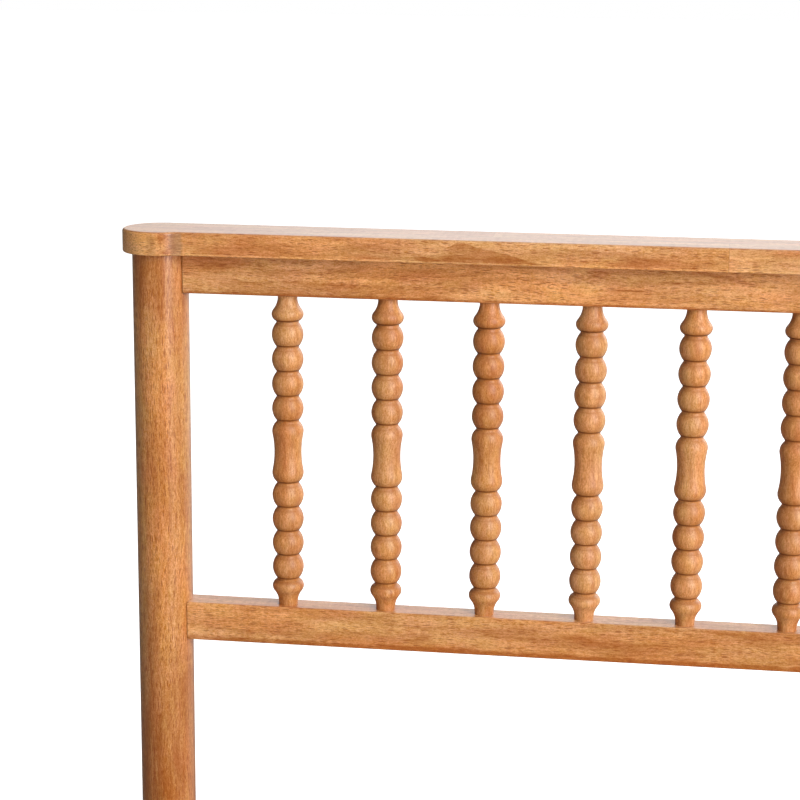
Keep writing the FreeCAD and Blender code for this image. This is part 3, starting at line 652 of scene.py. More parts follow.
def closedForm(form, loops, name):
    bridge(form, loops)
    form.faces.new(loops[0])
    form.faces.new(loops[-1])
    bmesh.ops.recalc_face_normals(form, faces=form.faces)
    return facingOut(meshFrom(form, name))


# outline: (radius, height) pairs; a closed one makes a ring
def turnedMesh(outline, centre=(0, 0), sides=64, closed=False, sharp=35, hexagon=None):
    form = bmesh.new()
    rows = []
    for radius, height in outline:
        row = []
        for k in range(sides):
            turn = math.tau * k / sides
            reach = radius
            if hexagon:
                reach = min(radius, hexagon / 2 / math.cos((turn + math.pi / 6) % (math.pi / 3) - math.pi / 6))
            x, y = centre[0] + reach * math.cos(turn), centre[1] + reach * math.sin(turn)
            row.append(form.verts.new((x, y, height)))
        rows.append(row)
    bridge(form, rows + rows[:1] if closed else rows)
    bmesh.ops.remove_doubles(form, verts=form.verts, dist=1e-7)
    return settle(facingOut(meshFrom(form, "turned")), sharp)


def extrudedMesh(outline, low, high):
    form = bmesh.new()
    loops = [[form.verts.new((x, level, z)) for x, z in outline] for level in (low, high)]
    return closedForm(form, loops, "extruded")


def storeValues(mesh, label, values):
    mesh.attributes.new(label, "FLOAT", "POINT").data.foreach_set("value", values)


# a piece is named after its node unless it gets a name of its own
def finishPiece(node, mesh, material, name=None, nodes=None, body="bed_frame", cut=0.0, tone=0.5):
    mesh.materials.clear()
    mesh.materials.append(material)
    for label, value in (("cut", cut), ("tone", tone)):
        if label not in mesh.attributes:
            storeValues(mesh, label, [value] * len(mesh.vertices))
    mesh.name = name = name or node[0] + node.title().replace("_", "")[1:]
    piece = onStage(mesh, name)
    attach(piece, body)
    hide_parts(*(nodes or [node]))


def grow(mesh, tree, values):
    draft = onStage(mesh or bpy.data.meshes.new("seed"))
    step = draft.modifiers.new("grow", "NODES")
    step.node_group = tree
    for item in tree.interface.items_tree:
        if item.item_type == "SOCKET" and item.in_out == "INPUT" and item.name in values:
            step[item.identifier] = values[item.name]
    return facingOut(keepMesh(draft))


# where the posts, legs and screws stand, from the bed's middle
plan = {"postX": 0.786, "postY": 1.045, "legY": 0.345, "slatScrewX": 0.761, "slatZ": 0.335, "cleatScrewX": 0.7485,
        "cleatScrewZ": 0.302, "cleatScrewPitch": 0.24, "hangerScrewX": 0.032, "hangerScrewY": 1.028,
        "hangerScrewZs": (0.267, 0.315)}
corners = [(sx, sy) for sx in (-1, 1) for sy in (-1, 1)]
legs = (("head", plan["legY"]), ("foot", -plan["legY"]))


# caps: round ends, a hollow corner, and a front edge set back from the ends
cap = {"end": 0.040, "front": 0.033, "neck": 0.026, "topRound": 0.003, "lowRound": 0.0015, "steps": 4,
       "cuts": (0.34, 0.61)}


def capOutline(halfSpan):
    end, front, neck = cap["end"], cap["front"], cap["neck"]
    reach = math.sqrt((end + neck) ** 2 - (front + neck) ** 2)
    meet = math.degrees(math.atan2(front + neck, reach))  # slope of the line between the two arcs' centres
    turns = [(turn, 0, 0, end, 1) for turn in range(90, -90, -5)]
    turns += [(-90 - (90 - meet) * k / 8, 0, 0, end, 1) for k in range(9)]
    turns += [(meet + (90 - meet) * k / 8, -reach, -front - neck, neck, -1) for k in range(1, 9)]
    right = []
    for turn, x, y, radius, out in turns:
        way = Vector((math.cos(math.radians(turn)), math.sin(math.radians(turn))))
        right.append((Vector((halfSpan + x, y)) + radius * way, out * way))
    left = [(Vector((-point.x, point.y)), Vector((-way.x, way.y))) for point, way in reversed(right)]
    return right + left


def capMesh(node):
    low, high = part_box(node)
    middle = Vector(((low.x + high.x) / 2, (low.y + high.y) / 2))
    outline = capOutline((high.x - low.x) / 2 - cap["end"])
    turns = [math.pi / 2 * k / cap["steps"] for k in range(cap["steps"] + 1)]
    lowRound, topRound = cap["lowRound"], cap["topRound"]
    rims = [(lowRound * (1 - math.sin(turn)), low.z + lowRound * (1 - math.cos(turn))) for turn in turns]
    rims += [(topRound * (1 - math.cos(turn)), high.z - topRound * (1 - math.sin(turn))) for turn in turns]
    form = bmesh.new()
    loops = [[form.verts.new((*(point - inset * way + middle), height)) for point, way in outline]
             for inset, height in rims]
    return settle(closedForm(form, loops, "cap"))


for number, end in enumerate(("headboard", "footboard")):
    finishPiece(end + "_cap", capMesh(end + "_cap"), honeyCap, cut=cap["cuts"][number])
print("caps made")


# posts: round, with a flat milled where each rail butts on
post = {"radius": 0.030, "sides": 128, "chamfer": 0.002, "topEase": 0.0006, "tones": (-0.6, -0.4, 0.1, -0.2)}
endRails = {"headboard": ("top_rail", "spindle_rail", "bottom_rail"), "footboard": ("top_rail", "bottom_rail")}


def postMesh(node, rails):
    low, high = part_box(node)
    radius, chamfer, ease = post["radius"], post["chamfer"], post["topEase"]
    centre = (math.copysign(plan["postX"], low.x + high.x), math.copysign(plan["postY"], low.y + high.y))
    outline = [(0, low.z), (radius - chamfer, low.z), (radius, low.z + chamfer), (radius, high.z - ease),
               (radius - ease, high.z), (0, high.z)]
    mesh = turnedMesh(outline, centre, post["sides"])
    return settle(cutAway(mesh, [blockMesh(*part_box(name)) for name in rails]), 25)


for number, (end, side) in enumerate((end, side) for end in endRails for side in ("left", "right")):
    node = end + "_post_" + side
    mesh = postMesh(node, [end + "_" + name for name in endRails[end]] + ["side_rail_" + side])
    finishPiece(node, mesh, honeyPost, cut=0.13 + number * 0.29, tone=post["tones"][number])
print("posts made")


# rails of the end panels; the top ones have screw bores up towards the cap
rail = {"ease": 0.0015, "boreRadius": 0.0055, "boreDepth": 0.018, "boreRun": 0.005,
        "boreXs": (-0.486, -0.162, 0.162, 0.486), "tones": (0.50, 0.45, 0.50, 0.60, 0.40)}
for number, (end, kind) in enumerate((end, kind) for end in endRails for kind in endRails[end]):
    node = end + "_" + kind
    low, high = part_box(node)
    y = (low.y + high.y) / 2
    bores = [((x, y, low.z - rail["boreRun"]), (x, y, low.z + rail["boreDepth"]), rail["boreRadius"])
             for x in rail["boreXs"] if kind == "top_rail"]
    material = honeyBoard if kind == "bottom_rail" else honeyRail
    finishPiece(node, boardMesh(low, high, rail["ease"], bores, axis=0), material, cut=0.07 + number * 0.37,
                tone=rail["tones"][number])
print("end rails made")


# turned spindles: the outline is drawn once for each length, then nodes turn, space and tone them
spindle = {
    "beadPitch": 0.027, "bead": 0.017, "beadArc": 0.019, "groove": 0.0121, "neck": 0.0104, "straight": 0.002,
    # painted shade of the grooves: how far it fades, how far above a groove its dark line sits; painted shadow at the
    # foot
    "grooveFade": 0.007, "grooveLift": 0.0014, "footShade": 0.7, "footFade": 0.016,
    # how much darker the band below a groove is, by distance below the groove's line
    "dulled": ((0.001, 0.0), (0.002, 0.45), (0.0045, 0.5), (0.005, 1.3), (0.0056, 0.6), (0.0076, 0.3), (0.0105, 0.0)),
    "collar": 0.01715, "collarArc": 0.0078, "collarPeak": 0.021, "collarGroove": 0.0295,
    "barrelHalf": 0.0345, "waist": 0.0147, "shoulder": 0.01705, "shoulderArc": 0.0135, "shoulderAt": 0.023,
    "tenon": 0.008, "tenonLength": 0.015, "sides": 36, "count": 13, "pitch": 0.108,
}


# points on an arc, between two turns in radians
def arcPoints(centre, radius, first, last, steps):
    turns = [first + (last - first) * k / steps for k in range(steps + 1)]
    return [(centre[0] + radius * math.cos(turn), centre[1] + radius * math.sin(turn)) for turn in turns]


def sweep(centre, radius, start, end, steps):
    first = math.atan2(start[1] - centre[1], start[0] - centre[0])
    last = math.atan2(end[1] - centre[1], end[0] - centre[0])
    return arcPoints(centre, radius, first, first + math.remainder(last - first, math.tau), steps)


def between(first, second, share):
    return tuple(a + (b - a) * share for a, b in zip(first, second))


def collarOutline():
    s = spindle
    peak = (s["collar"] - s["collarArc"], s["collarPeak"])
    lead, rise = s["neck"] - peak[0], s["collarPeak"] - s["straight"]
    hollow = (s["collarArc"] ** 2 - lead ** 2 - rise ** 2) / (2 * (lead - s["collarArc"]))
    centre = (s["neck"] + hollow, s["straight"])
    meet = between(centre, peak, hollow / (hollow + s["collarArc"]))
    fall = math.sqrt(s["collarArc"] ** 2 - (s["groove"] - peak[0]) ** 2)
    points = [(0, -s["tenonLength"]), (s["tenon"] - 0.001, -s["tenonLength"]), (s["tenon"], 0.001 - s["tenonLength"]),
              (s["tenon"], 0), (s["neck"], 0)]
    points += sweep(centre, hollow, (s["neck"], s["straight"]), meet, 7)
    return points + sweep(peak, s["collarArc"], meet, (s["groove"], s["collarPeak"] + fall), 9)[1:]


def beadOutline(middle):
    inset = spindle["bead"] - spindle["beadArc"]
    half = math.sqrt(spindle["beadArc"] ** 2 - (spindle["groove"] - inset) ** 2)
    ends = [(spindle["groove"], middle - half), (spindle["groove"], middle + half)]
    points = sweep((inset, middle), spindle["beadArc"], *ends, 40)
    return [points[k] for k in (0, 3, 4, 5, 8, 12, 16, 20, 24, 28, 32, 35, 36, 37, 40)]


def barrelOutline(middle):
    s = spindle
    low = (s["shoulder"] - s["shoulderArc"], middle - s["shoulderAt"])
    drop = math.sqrt(s["shoulderArc"] ** 2 - (s["groove"] - low[0]) ** 2)
    step = s["shoulder"] - s["waist"]
    both = (step ** 2 + s["shoulderAt"] ** 2) / (2 * step)
    wide = (s["waist"] + both - s["shoulderArc"], middle)
    meet = between(wide, low, (both - s["shoulderArc"]) / both)
    points = sweep(low, s["shoulderArc"], (s["groove"], low[1] - drop), meet, 9)
    return points + sweep(wide, both - s["shoulderArc"], meet, (s["waist"], middle), 5)[1:]


def spindleOutline(beads):
    points = collarOutline()
    for bead in range(beads):
        points += beadOutline(spindle["collarGroove"] + (bead + 0.5) * spindle["beadPitch"])
    middle = spindle["collarGroove"] + beads * spindle["beadPitch"] + spindle["barrelHalf"]
    points += barrelOutline(middle)
    return points + [(radius, 2 * middle - height) for radius, height in reversed(points[:-1])]


def randomPerPiece(seed, shift):
    draw = addNode(seed.id_data, "FunctionNodeRandomValue", {"Seed": plus(seed, shift)}, data_type="FLOAT")
    return next(entry for entry in draw.outputs if entry.enabled)


# one geometry node, by the end of its name; its first output
def geo(kind, inputs, **settings):
    return addNode(treeOf(*inputs.values()), "GeometryNode" + kind, inputs, **settings).outputs[0]


def finishGeometry(tree, geometry, given, out):
    shape = geo("RealizeInstances", {"Geometry": geometry})
    return putOut(tree, out, {"Geometry": geo("SetMaterial", {"Geometry": shape, "Material": given["Finish"]})})


def finishRow(tree, row, given, out):
    for name, shift in (("cut", 0.0), ("tone", 11.0)):
        row = geo("StoreNamedAttribute", {
            "Geometry": row, "Name": name, "Value": randomPerPiece(given["Seed"], shift)},
            data_type="FLOAT", domain="INSTANCE")
    return finishGeometry(tree, row, given, out)


def repeated(shape, given, offset):
    line = geo("MeshLine", {"Count": given["Count"], "Start Location": given["Start"], "Offset": offset})
    return geo("InstanceOnPoints", {"Points": line, "Instance": shape})


def buildSpindleRow():
    tree, given, out = newGroup("spindleRow", "GeometryNodeTree", {
        "Outline": "Geometry", "Count": 13, "Spacing": 0.108, "Sides": 36, "Start": (0, 0, 0), "Finish": "Material",
        "Seed": 3,
    }, {"Geometry": "Geometry"})
    outline = geo("MeshToCurve", {"Mesh": given["Outline"]})
    axis = geo("CurvePrimitiveCircle", {"Resolution": given["Sides"], "Radius": 1e-6})
    turned = geo("CurveToMesh", {"Curve": axis, "Profile Curve": outline})
    turned = geo("MergeByDistance", {"Geometry": turned, "Distance": 0.00001})
    return finishRow(tree, repeated(turned, given, joined(given["Spacing"])), given, out)


def rampAt(stops, value):
    for (near, low), (far, high) in zip(stops, stops[1:]):
        if near <= value <= far:
            return low + (high - low) * (value - near) / (far - near)
    return 0.0


# how deep each point is in the painted shade of a groove: most just above the groove, and again as painted
# contact shadow where the spindle stands on its rail; and how much darker it is on the band just below a groove
def grooveShades(points):
    bottoms = sorted(height for radius, height in points if abs(radius - spindle["groove"]) < 1e-6)
    levels = [upper + spindle["grooveLift"] for lower, upper in zip(bottoms, bottoms[1:]) if upper - lower < 0.003]
    depths, shoulders = [], []
    for radius, height in points:
        shade = 1 - min(abs(height - level) for level in levels) / spindle["grooveFade"]
        foot = spindle["footShade"] * (1 - abs(height) / spindle["footFade"])
        depths.append(max(0.0, shade, foot))
        shoulders.append(max(rampAt(spindle["dulled"], level - height) for level in levels))
    return depths, shoulders


spindleRow = buildSpindleRow()
for number, (end, beads) in enumerate((("headboard", 4), ("footboard", 2))):
    nodes = [end + "_spindle_%02d" % (k + 1) for k in range(spindle["count"])]
    low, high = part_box(nodes[0])
    points = spindleOutline(beads)
    outline = bpy.data.meshes.new("outline")
    outline.from_pydata([(radius, -height, 0) for radius, height in points],
                        [(k, k + 1) for k in range(len(points) - 1)], [])
    for label, shades in zip(("groove", "shoulder"), grooveShades(points)):
        storeValues(outline, label, shades)
    start = ((low.x + high.x) / 2, (low.y + high.y) / 2, low.z + spindle["tenonLength"])
    mesh = grow(outline, spindleRow, {
        "Count": spindle["count"], "Spacing": spindle["pitch"], "Sides": spindle["sides"], "Start": start,
        "Finish": honeyTurned, "Seed": 5 + number})
    mesh.shade_smooth()
    mesh.set_sharp_from_angle(angle=math.radians(50))
    finishPiece(nodes[0], mesh, honeyTurned, end + "Spindles", nodes)
print("spindles turned")


# side rails: round pockets in the inner face for the bolts' nuts, and bolt bores out to the ends
sideRail = {"ease": 0.002, "pocketRadius": 0.015, "pocketDepth": 0.021, "pocketY": 0.9625, "boltZs": (0.271, 0.366),
            "boltBore": 0.0041, "boreRun": 0.004, "inner": 0.7735, "cleatEase": 0.001}
for number, (side, label) in enumerate(((-1, "left"), (1, "right"))):
    node = "side_rail_" + label
    low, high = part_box(node)
    bores = []
    for y in (-sideRail["pocketY"], sideRail["pocketY"]):
        for z in sideRail["boltZs"]:
            mouth = side * (sideRail["inner"] - sideRail["boreRun"])
            bottom = side * (sideRail["inner"] + sideRail["pocketDepth"])
            bores.append(((mouth, y, z), (bottom, y, z), sideRail["pocketRadius"]))
            end = math.copysign(high.y + sideRail["boreRun"], y)
            bores.append(((side * plan["postX"], y, z), (side * plan["postX"], end, z), sideRail["boltBore"]))
    mesh = boardMesh(low, high, sideRail["ease"], bores, axis=1)
    finishPiece(node, mesh, honeySide, cut=0.21 + number * 0.43)
    node = "slat_cleat_" + label
    mesh = boardMesh(*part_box(node), sideRail["cleatEase"])
    finishPiece(node, mesh, pineBeam, cut=0.33 + number * 0.27, tone=0.4 + number * 0.3)
print("side rails and cleats made")


# slats: one board, repeated up the bed, each with its own cut and tone
slat = {"count": 14, "pitch": 0.15, "width": 0.075, "thick": 0.018, "ease": 0.002, "easeSteps": 3}


def buildSlatRow():
    tree, given, out = newGroup("slatRow", "GeometryNodeTree", {
        "Count": 14, "Spacing": 0.15, "Length": 1.543, "Width": 0.075, "Thickness": 0.018, "Ease": 0.002,
        "Ease Steps": 3, "Start": (0, 0, 0), "Finish": "Material", "Seed": 3,
    }, {"Geometry": "Geometry"})
    half = times(given["Length"], 0.5)
    line = geo("CurvePrimitiveLine", {"Start": joined(times(half, -1.0)), "End": joined(half)})
    section = geo("CurvePrimitiveQuadrilateral", {"Width": given["Width"], "Height": given["Thickness"]})
    section = geo("FilletCurve", {
        "Curve": section, "Count": given["Ease Steps"], "Radius": given["Ease"], "Limit Radius": True}, mode="POLY")
    board = geo("CurveToMesh", {"Curve": line, "Profile Curve": section, "Fill Caps": True})
    board = geo("MergeByDistance", {"Geometry": board, "Distance": 0.00001})
    return finishRow(tree, repeated(board, given, joined(0.0, given["Spacing"])), given, out)


low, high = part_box("mattress_slats")
slatMesh = grow(None, buildSlatRow(), {
    "Count": slat["count"], "Spacing": slat["pitch"], "Length": high.x - low.x, "Width": slat["width"],
    "Thickness": slat["thick"], "Ease": slat["ease"], "Ease Steps": slat["easeSteps"],
    "Start": (0, low.y + slat["width"] / 2, (low.z + high.z) / 2), "Finish": pineSlat, "Seed": 8})
finishPiece("mattress_slats", settle(slatMesh), pineSlat)

# centre beam and its legs; the legs are bored for their levelling studs
beam = {"ease": 0.0015, "legEase": 0.002, "studBore": 0.0056, "boreDepth": 0.016, "boreRun": 0.004}
finishPiece("centre_rail", boardMesh(*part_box("centre_rail"), beam["ease"]), pineBeam, cut=0.77)
for number, (label, y) in enumerate(legs):
    node = "centre_leg_" + label
    low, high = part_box(node)
    bore = ((0, y, low.z - beam["boreRun"]), (0, y, low.z + beam["boreDepth"]), beam["studBore"])
    mesh = boardMesh(low, high, beam["legEase"], [bore])
    finishPiece(node, mesh, pineLeg, cut=0.15 + number * 0.5, tone=0.35 + number * 0.3)
print("slats, beam and legs made")


# ribbed rods: screw threads, and the flutes of dowels, from one tree
def buildRibbedRod():
    tree, given, out = newGroup("ribbedRod", "GeometryNodeTree", {
        "Radius": 0.004, "Length": 0.05, "Sides": 16, "Rows": 100, "Ribs": 1.0, "Turns Per Metre": 800.0,
        "Rib Depth": 0.0007, "Plain From": 1.0, "Plain To": 1.0, "Tip Length": 0.001, "Tip Share": 0.7,
        "Finish": "Material",
    }, {"Geometry": "Geometry"})
    rod = geo("MeshCylinder", {
        "Vertices": given["Sides"], "Side Segments": given["Rows"], "Radius": given["Radius"],
        "Depth": given["Length"]})
    place = split(addNode(tree, "GeometryNodeInputPosition").outputs[0])
    height = plus(place[2], times(given["Length"], 0.5))
    turn = over(calc("ARCTAN2", place[1], place[0]), math.tau)
    phase = minus(times(turn, given["Ribs"]), times(height, given["Turns Per Metre"]))
    wave = calc("ABSOLUTE", minus(times(calc("FRACT", phase), 2.0), 1.0))
    plain = times(calc("GREATER_THAN", height, given["Plain From"]), calc("LESS_THAN", height, given["Plain To"]))
    ribbed = times(wave, minus(1.0, plain))
    lost = over(times(ribbed, given["Rib Depth"]), given["Radius"])
    tip = spread(height, minus(given["Length"], given["Tip Length"]), given["Length"], 1.0, given["Tip Share"])
    scale = times(minus(1.0, lost), tip)
    moved = joined(times(place[0], scale), times(place[1], scale), height)
    return finishGeometry(tree, geo("SetPosition", {"Geometry": rod, "Position": moved}), given, out)


# fasteners: one shape set at every spot, turned as the spot's facing says, with a spin of its own
def buildFastenerField():
    tree, given, out = newGroup("fastenerField", "GeometryNodeTree", {
        "Spots": "Geometry", "Fastener": "Object", "Spin": 1.0, "Finish": "Material", "Seed": 1,
    }, {"Geometry": "Geometry"})
    shape = addNode(tree, "GeometryNodeObjectInfo", {"Object": given["Fastener"]}).outputs["Geometry"]
    facing = addNode(tree, "GeometryNodeInputNamedAttribute", {"Name": "facing"}, data_type="FLOAT_VECTOR").outputs[0]
    facing = addNode(tree, "FunctionNodeEulerToRotation", {0: facing}).outputs[0]
    angle = times(times(randomPerPiece(given["Seed"], 0.0), given["Spin"]), math.tau)
    spin = addNode(tree, "FunctionNodeAxisAngleToRotation", {"Axis": (0, 0, 1), "Angle": angle}).outputs[0]
    facing = addNode(tree, "FunctionNodeRotateRotation", {0: facing, 1: spin}, rotation_space="LOCAL").outputs[0]
    field = geo("InstanceOnPoints", {"Points": given["Spots"], "Instance": shape, "Rotation": facing})
    return finishRow(tree, field, given, out)


ribbedRod = buildRibbedRod()
fastenerField = buildFastenerField()


def rodMesh(finish, **sizes):
    return grow(None, ribbedRod, {"Finish": finish, **{spaced(key): value for key, value in sizes.items()}})


def placedFasteners(shape, spots, finish, spin=1.0, seed=1):
    mesh = bpy.data.meshes.new("spots")
    mesh.from_pydata([place for place, aim in spots], [], [])
    facing = mesh.attributes.new("facing", "FLOAT_VECTOR", "POINT")
    for k, (place, aim) in enumerate(spots):
        facing.data[k].vector = Vector(aim).to_track_quat("Z", "Y").to_euler() if spin else aimKeepingX(aim)
    fastener = onStage(shape, "fastener")
    field = grow(mesh, fastenerField, {"Fastener": fastener, "Spin": spin, "Finish": finish, "Seed": seed})
    bpy.data.objects.remove(fastener)
    return field


# a turn about X alone, for parts that must stay level
def aimKeepingX(aim):
    return (math.atan2(-aim[1], aim[2]), 0, 0)


def finishFasteners(node, shape, spots, name=None, finish=zincPlate, sharp=30, **options):
    finishPiece(node, settle(placedFasteners(shape, spots, finish, **options), sharp), finish, name)


# screws: countersunk crossed heads and sharp threads; Z runs into the wood
screw = {"headRadius": 0.004, "headHeight": 0.0026, "shank": 0.002, "tip": 0.004, "cross": 0.0012, "depth": 0.0014,
         "turnsPerMetre": 480.0, "threadDepth": 0.0007, "plainShare": 0.3, "tipShare": 0.15, "long": 0.035,
         "short": 0.025}


def screwMesh(length):
    radius, height = screw["headRadius"], screw["headHeight"]
    head = turnedMesh([(0, 0), (radius * 0.9, 0), (radius, 0.0002), (radius, 0.0004), (screw["shank"], height),
                       (screw["shank"] * 0.8, height + 0.001), (0, height + 0.001)], sides=24)
    reach, half, depth = radius * 0.6, screw["cross"] / 2, screw["depth"]
    head = cutAway(head, [blockMesh((-reach, -half, -0.001), (reach, half, depth)),
                          blockMesh((-half, -reach, -0.001), (half, reach, depth))])
    rod = rodMesh(zincPlate, radius=screw["shank"], length=length - height, sides=8, rows=44,
                  turnsPerMetre=screw["turnsPerMetre"], ribDepth=screw["threadDepth"], plainFrom=-1.0,
                  plainTo=(length - height) * screw["plainShare"], tipLength=screw["tip"], tipShare=screw["tipShare"])
    rod.transform(Matrix.Translation((0, 0, height)))
    return settle(together(head, rod), 30)


slatYs = [slat["pitch"] * (k - (slat["count"] - 1) / 2) for k in range(slat["count"])]
woodSpots = [((side * plan["slatScrewX"], y, plan["slatZ"]), (0, 0, -1)) for side in (-1, 0, 1) for y in slatYs]
woodSpots += [((side * plan["cleatScrewX"], plan["cleatScrewPitch"] * k, plan["cleatScrewZ"]), (side, 0, 0))
              for side in (-1, 1) for k in range(-4, 5)]
for node in ("headboard_top_rail", "footboard_top_rail"):
    low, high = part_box(node)
    woodSpots += [((x, (low.y + high.y) / 2, low.z + rail["boreDepth"]), (0, 0, 1)) for x in rail["boreXs"]]
finishFasteners("wood_screws", screwMesh(screw["long"]), woodSpots)
hangerSpots = [((sx * plan["hangerScrewX"], sy * plan["hangerScrewY"], z), (0, sy, 0))
               for sy in (-1, 1) for sx in (-1, 1) for z in plan["hangerScrewZs"]]
finishFasteners("bracket_screws", screwMesh(screw["short"]), hangerSpots, seed=2)
print("screws set")


# bolts, half-moon washers and nuts that draw the side rails to the posts
bolt = {"radius": 0.004, "inPost": 0.030, "length": 0.0875, "pitch": 0.00125, "threadDepth": 0.0007,
        "across": 0.013, "nut": 0.0065, "moonRadius": 0.0148, "moonWidth": 0.014, "moonFlat": 0.007,
        "moonEase": 0.0006, "moonPlay": 0.0001, "nutPlay": 0.00005, "startY": 1.0475, "flatY": 0.9695, "plainTo": 0.060,
        "legLength": 0.045, "legZ": 0.225}


def hexMesh(across, height, bore=0.0, bevel=0.0012):
    tip = across / 2 / math.cos(math.pi / 6)
    face = across / 2 * 0.95
    rise = [k / 5 for k in range(6)]
    lower = [(face + (tip - face) * share, bevel * share) for share in rise]
    outline = lower + [(radius, height - level) for radius, level in reversed(lower)]
    if bore:
        outline = [(bore, 0.0004), (bore + 0.0004, 0)] + outline + [(bore + 0.0004, height), (bore, height - 0.0004)]
        return turnedMesh(outline, sides=72, closed=True, hexagon=across, sharp=20)
    return turnedMesh([(0, 0)] + outline + [(0, height)], sides=72, hexagon=across, sharp=20)


def moonMesh():
    radius, drop = bolt["moonRadius"], bolt["moonFlat"]
    first = math.asin(drop / radius)
    turns = [first + (math.pi - 2 * first) * k / 20 for k in range(21)]
    outline = [(radius * math.cos(turn), drop - radius * math.sin(turn)) for turn in turns]
    form = formFrom(extrudedMesh(outline, -bolt["moonWidth"] / 2, bolt["moonWidth"] / 2))
    bmesh.ops.rotate(form, cent=(0, 0, 0), matrix=Matrix.Rotation(math.pi / 2, 3, "Z"), verts=form.verts)
    mesh = soften(meshFrom(form, "moon"), bolt["moonEase"], 2, 50)
    bore = drillMesh((0, 0, -0.02), (0, 0, 0.01), bolt["radius"] + bolt["moonPlay"])
    return settle(cutAway(mesh, [bore]), 30)


def boltRod(length, rows, sides=14, tipLength=0.001, tipShare=0.8, **more):
    return rodMesh(zincPlate, radius=bolt["radius"], length=length, sides=sides, rows=rows,
                   turnsPerMetre=1 / bolt["pitch"], ribDepth=bolt["threadDepth"], tipLength=tipLength,
                   tipShare=tipShare, **more)


def railSpots(y):
    return [((sx * plan["postX"], sy * y, z), (0, -sy, 0)) for sx, sy in corners for z in sideRail["boltZs"]]


def legSpots(*levels):
    return [((0, sy * plan["legY"], z), (0, 0, 1)) for sy in (-1, 1) for z in levels]


railRod = boltRod(bolt["length"], 230, plainFrom=bolt["inPost"], plainTo=bolt["plainTo"])
railNut = hexMesh(bolt["across"], bolt["nut"], bolt["radius"] + bolt["nutPlay"])
finishFasteners("rail_hanger_bolts", railRod, railSpots(bolt["startY"]), "railBolts", seed=3)
finishFasteners("half_moon_washers", moonMesh(), railSpots(bolt["flatY"]), spin=0.0)
finishFasteners("rail_bolt_nuts", railNut, railSpots(bolt["flatY"]), "railNuts", sharp=20, seed=4)
finishFasteners("leg_hanger_bolts", boltRod(bolt["legLength"], 130), legSpots(bolt["legZ"]), "legBolts", seed=5)

# threaded inserts with barbs
insert = {"radius": 0.0055, "length": 0.013, "flange": 0.009, "flangeThick": 0.0015, "bore": 0.00405, "barb": 0.0006,
          "barbs": 5, "barbFrom": 0.0015, "barbPitch": 0.0023, "zs": (0.0295, 0.2585)}
outline = [(insert["bore"], -insert["flangeThick"]), (insert["flange"] - 0.0004, -insert["flangeThick"]),
           (insert["flange"], 0.0004 - insert["flangeThick"]), (insert["flange"], 0), (insert["radius"], 0)]
for k in range(insert["barbs"]):
    height = insert["barbFrom"] + insert["barbPitch"] * k
    outline += [(insert["radius"], height), (insert["radius"] - insert["barb"], height + 0.0001)]
outline += [(insert["radius"] - insert["barb"], insert["length"]), (insert["bore"], insert["length"])]
finishFasteners("threaded_inserts", turnedMesh(outline, sides=48, closed=True), legSpots(*insert["zs"]), seed=6)

# fluted dowels, hidden in the joints
dowel = {"radius": 0.005, "length": 0.050, "fluteDepth": 0.0004, "flutes": 12.0, "pegRadius": 0.006,
         "pegLength": 0.040, "pegDrop": 0.025, "startX": 0.7265, "sideY": 1.0355, "sideZ": 0.3185}


def dowelRod(finish, radius, length):
    return rodMesh(finish, radius=radius, length=length, sides=48, rows=12, ribs=dowel["flutes"], turnsPerMetre=0.0,
                   ribDepth=dowel["fluteDepth"], tipLength=0.002, tipShare=0.8)


dowelSpots, pegSpots = [], []
for end, rails in endRails.items():
    for kind in rails:
        low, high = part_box(end + "_" + kind)
        dowelSpots += [((sx * dowel["startX"], (low.y + high.y) / 2, low.z + (high.z - low.z) * share), (sx, 0, 0))
                       for sx in (-1, 1) for share in (0.25, 0.75)]
    low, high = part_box(end + "_cap")
    pegSpots += [((sx * plan["postX"], (low.y + high.y) / 2, low.z - dowel["pegDrop"]), (0, 0, 1)) for sx in (-1, 1)]
dowelSpots += [((sx * plan["postX"], sy * dowel["sideY"], dowel["sideZ"]), (0, -sy, 0)) for sx, sy in corners]
railDowel = dowelRod(beechDowel, dowel["radius"], dowel["length"])
finishFasteners("rail_dowels", railDowel, dowelSpots, finish=beechDowel, sharp=40, seed=7)
capDowel = dowelRod(beechPeg, dowel["pegRadius"], dowel["pegLength"])
finishFasteners("cap_dowels", capDowel, pegSpots, finish=beechPeg, sharp=40, seed=9)
print("bolts, inserts and dowels set")


# folded steel hangers for the centre beam
hanger = {"steel": 0.002, "bend": 0.003, "plateWidth": 0.084, "plateHeight": 0.072, "plateRound": 0.006,
          "reach": 0.032, "side": 0.045, "half": 0.0202, "bottom": 0.255, "face": 1.030, "ease": 0.0004,
          "tipRound": 0.010, "overlap": 0.0005}


def corner(x, z, radius, first, last, steps):
    return arcPoints((x, z), radius, math.radians(first), math.radians(last), steps)


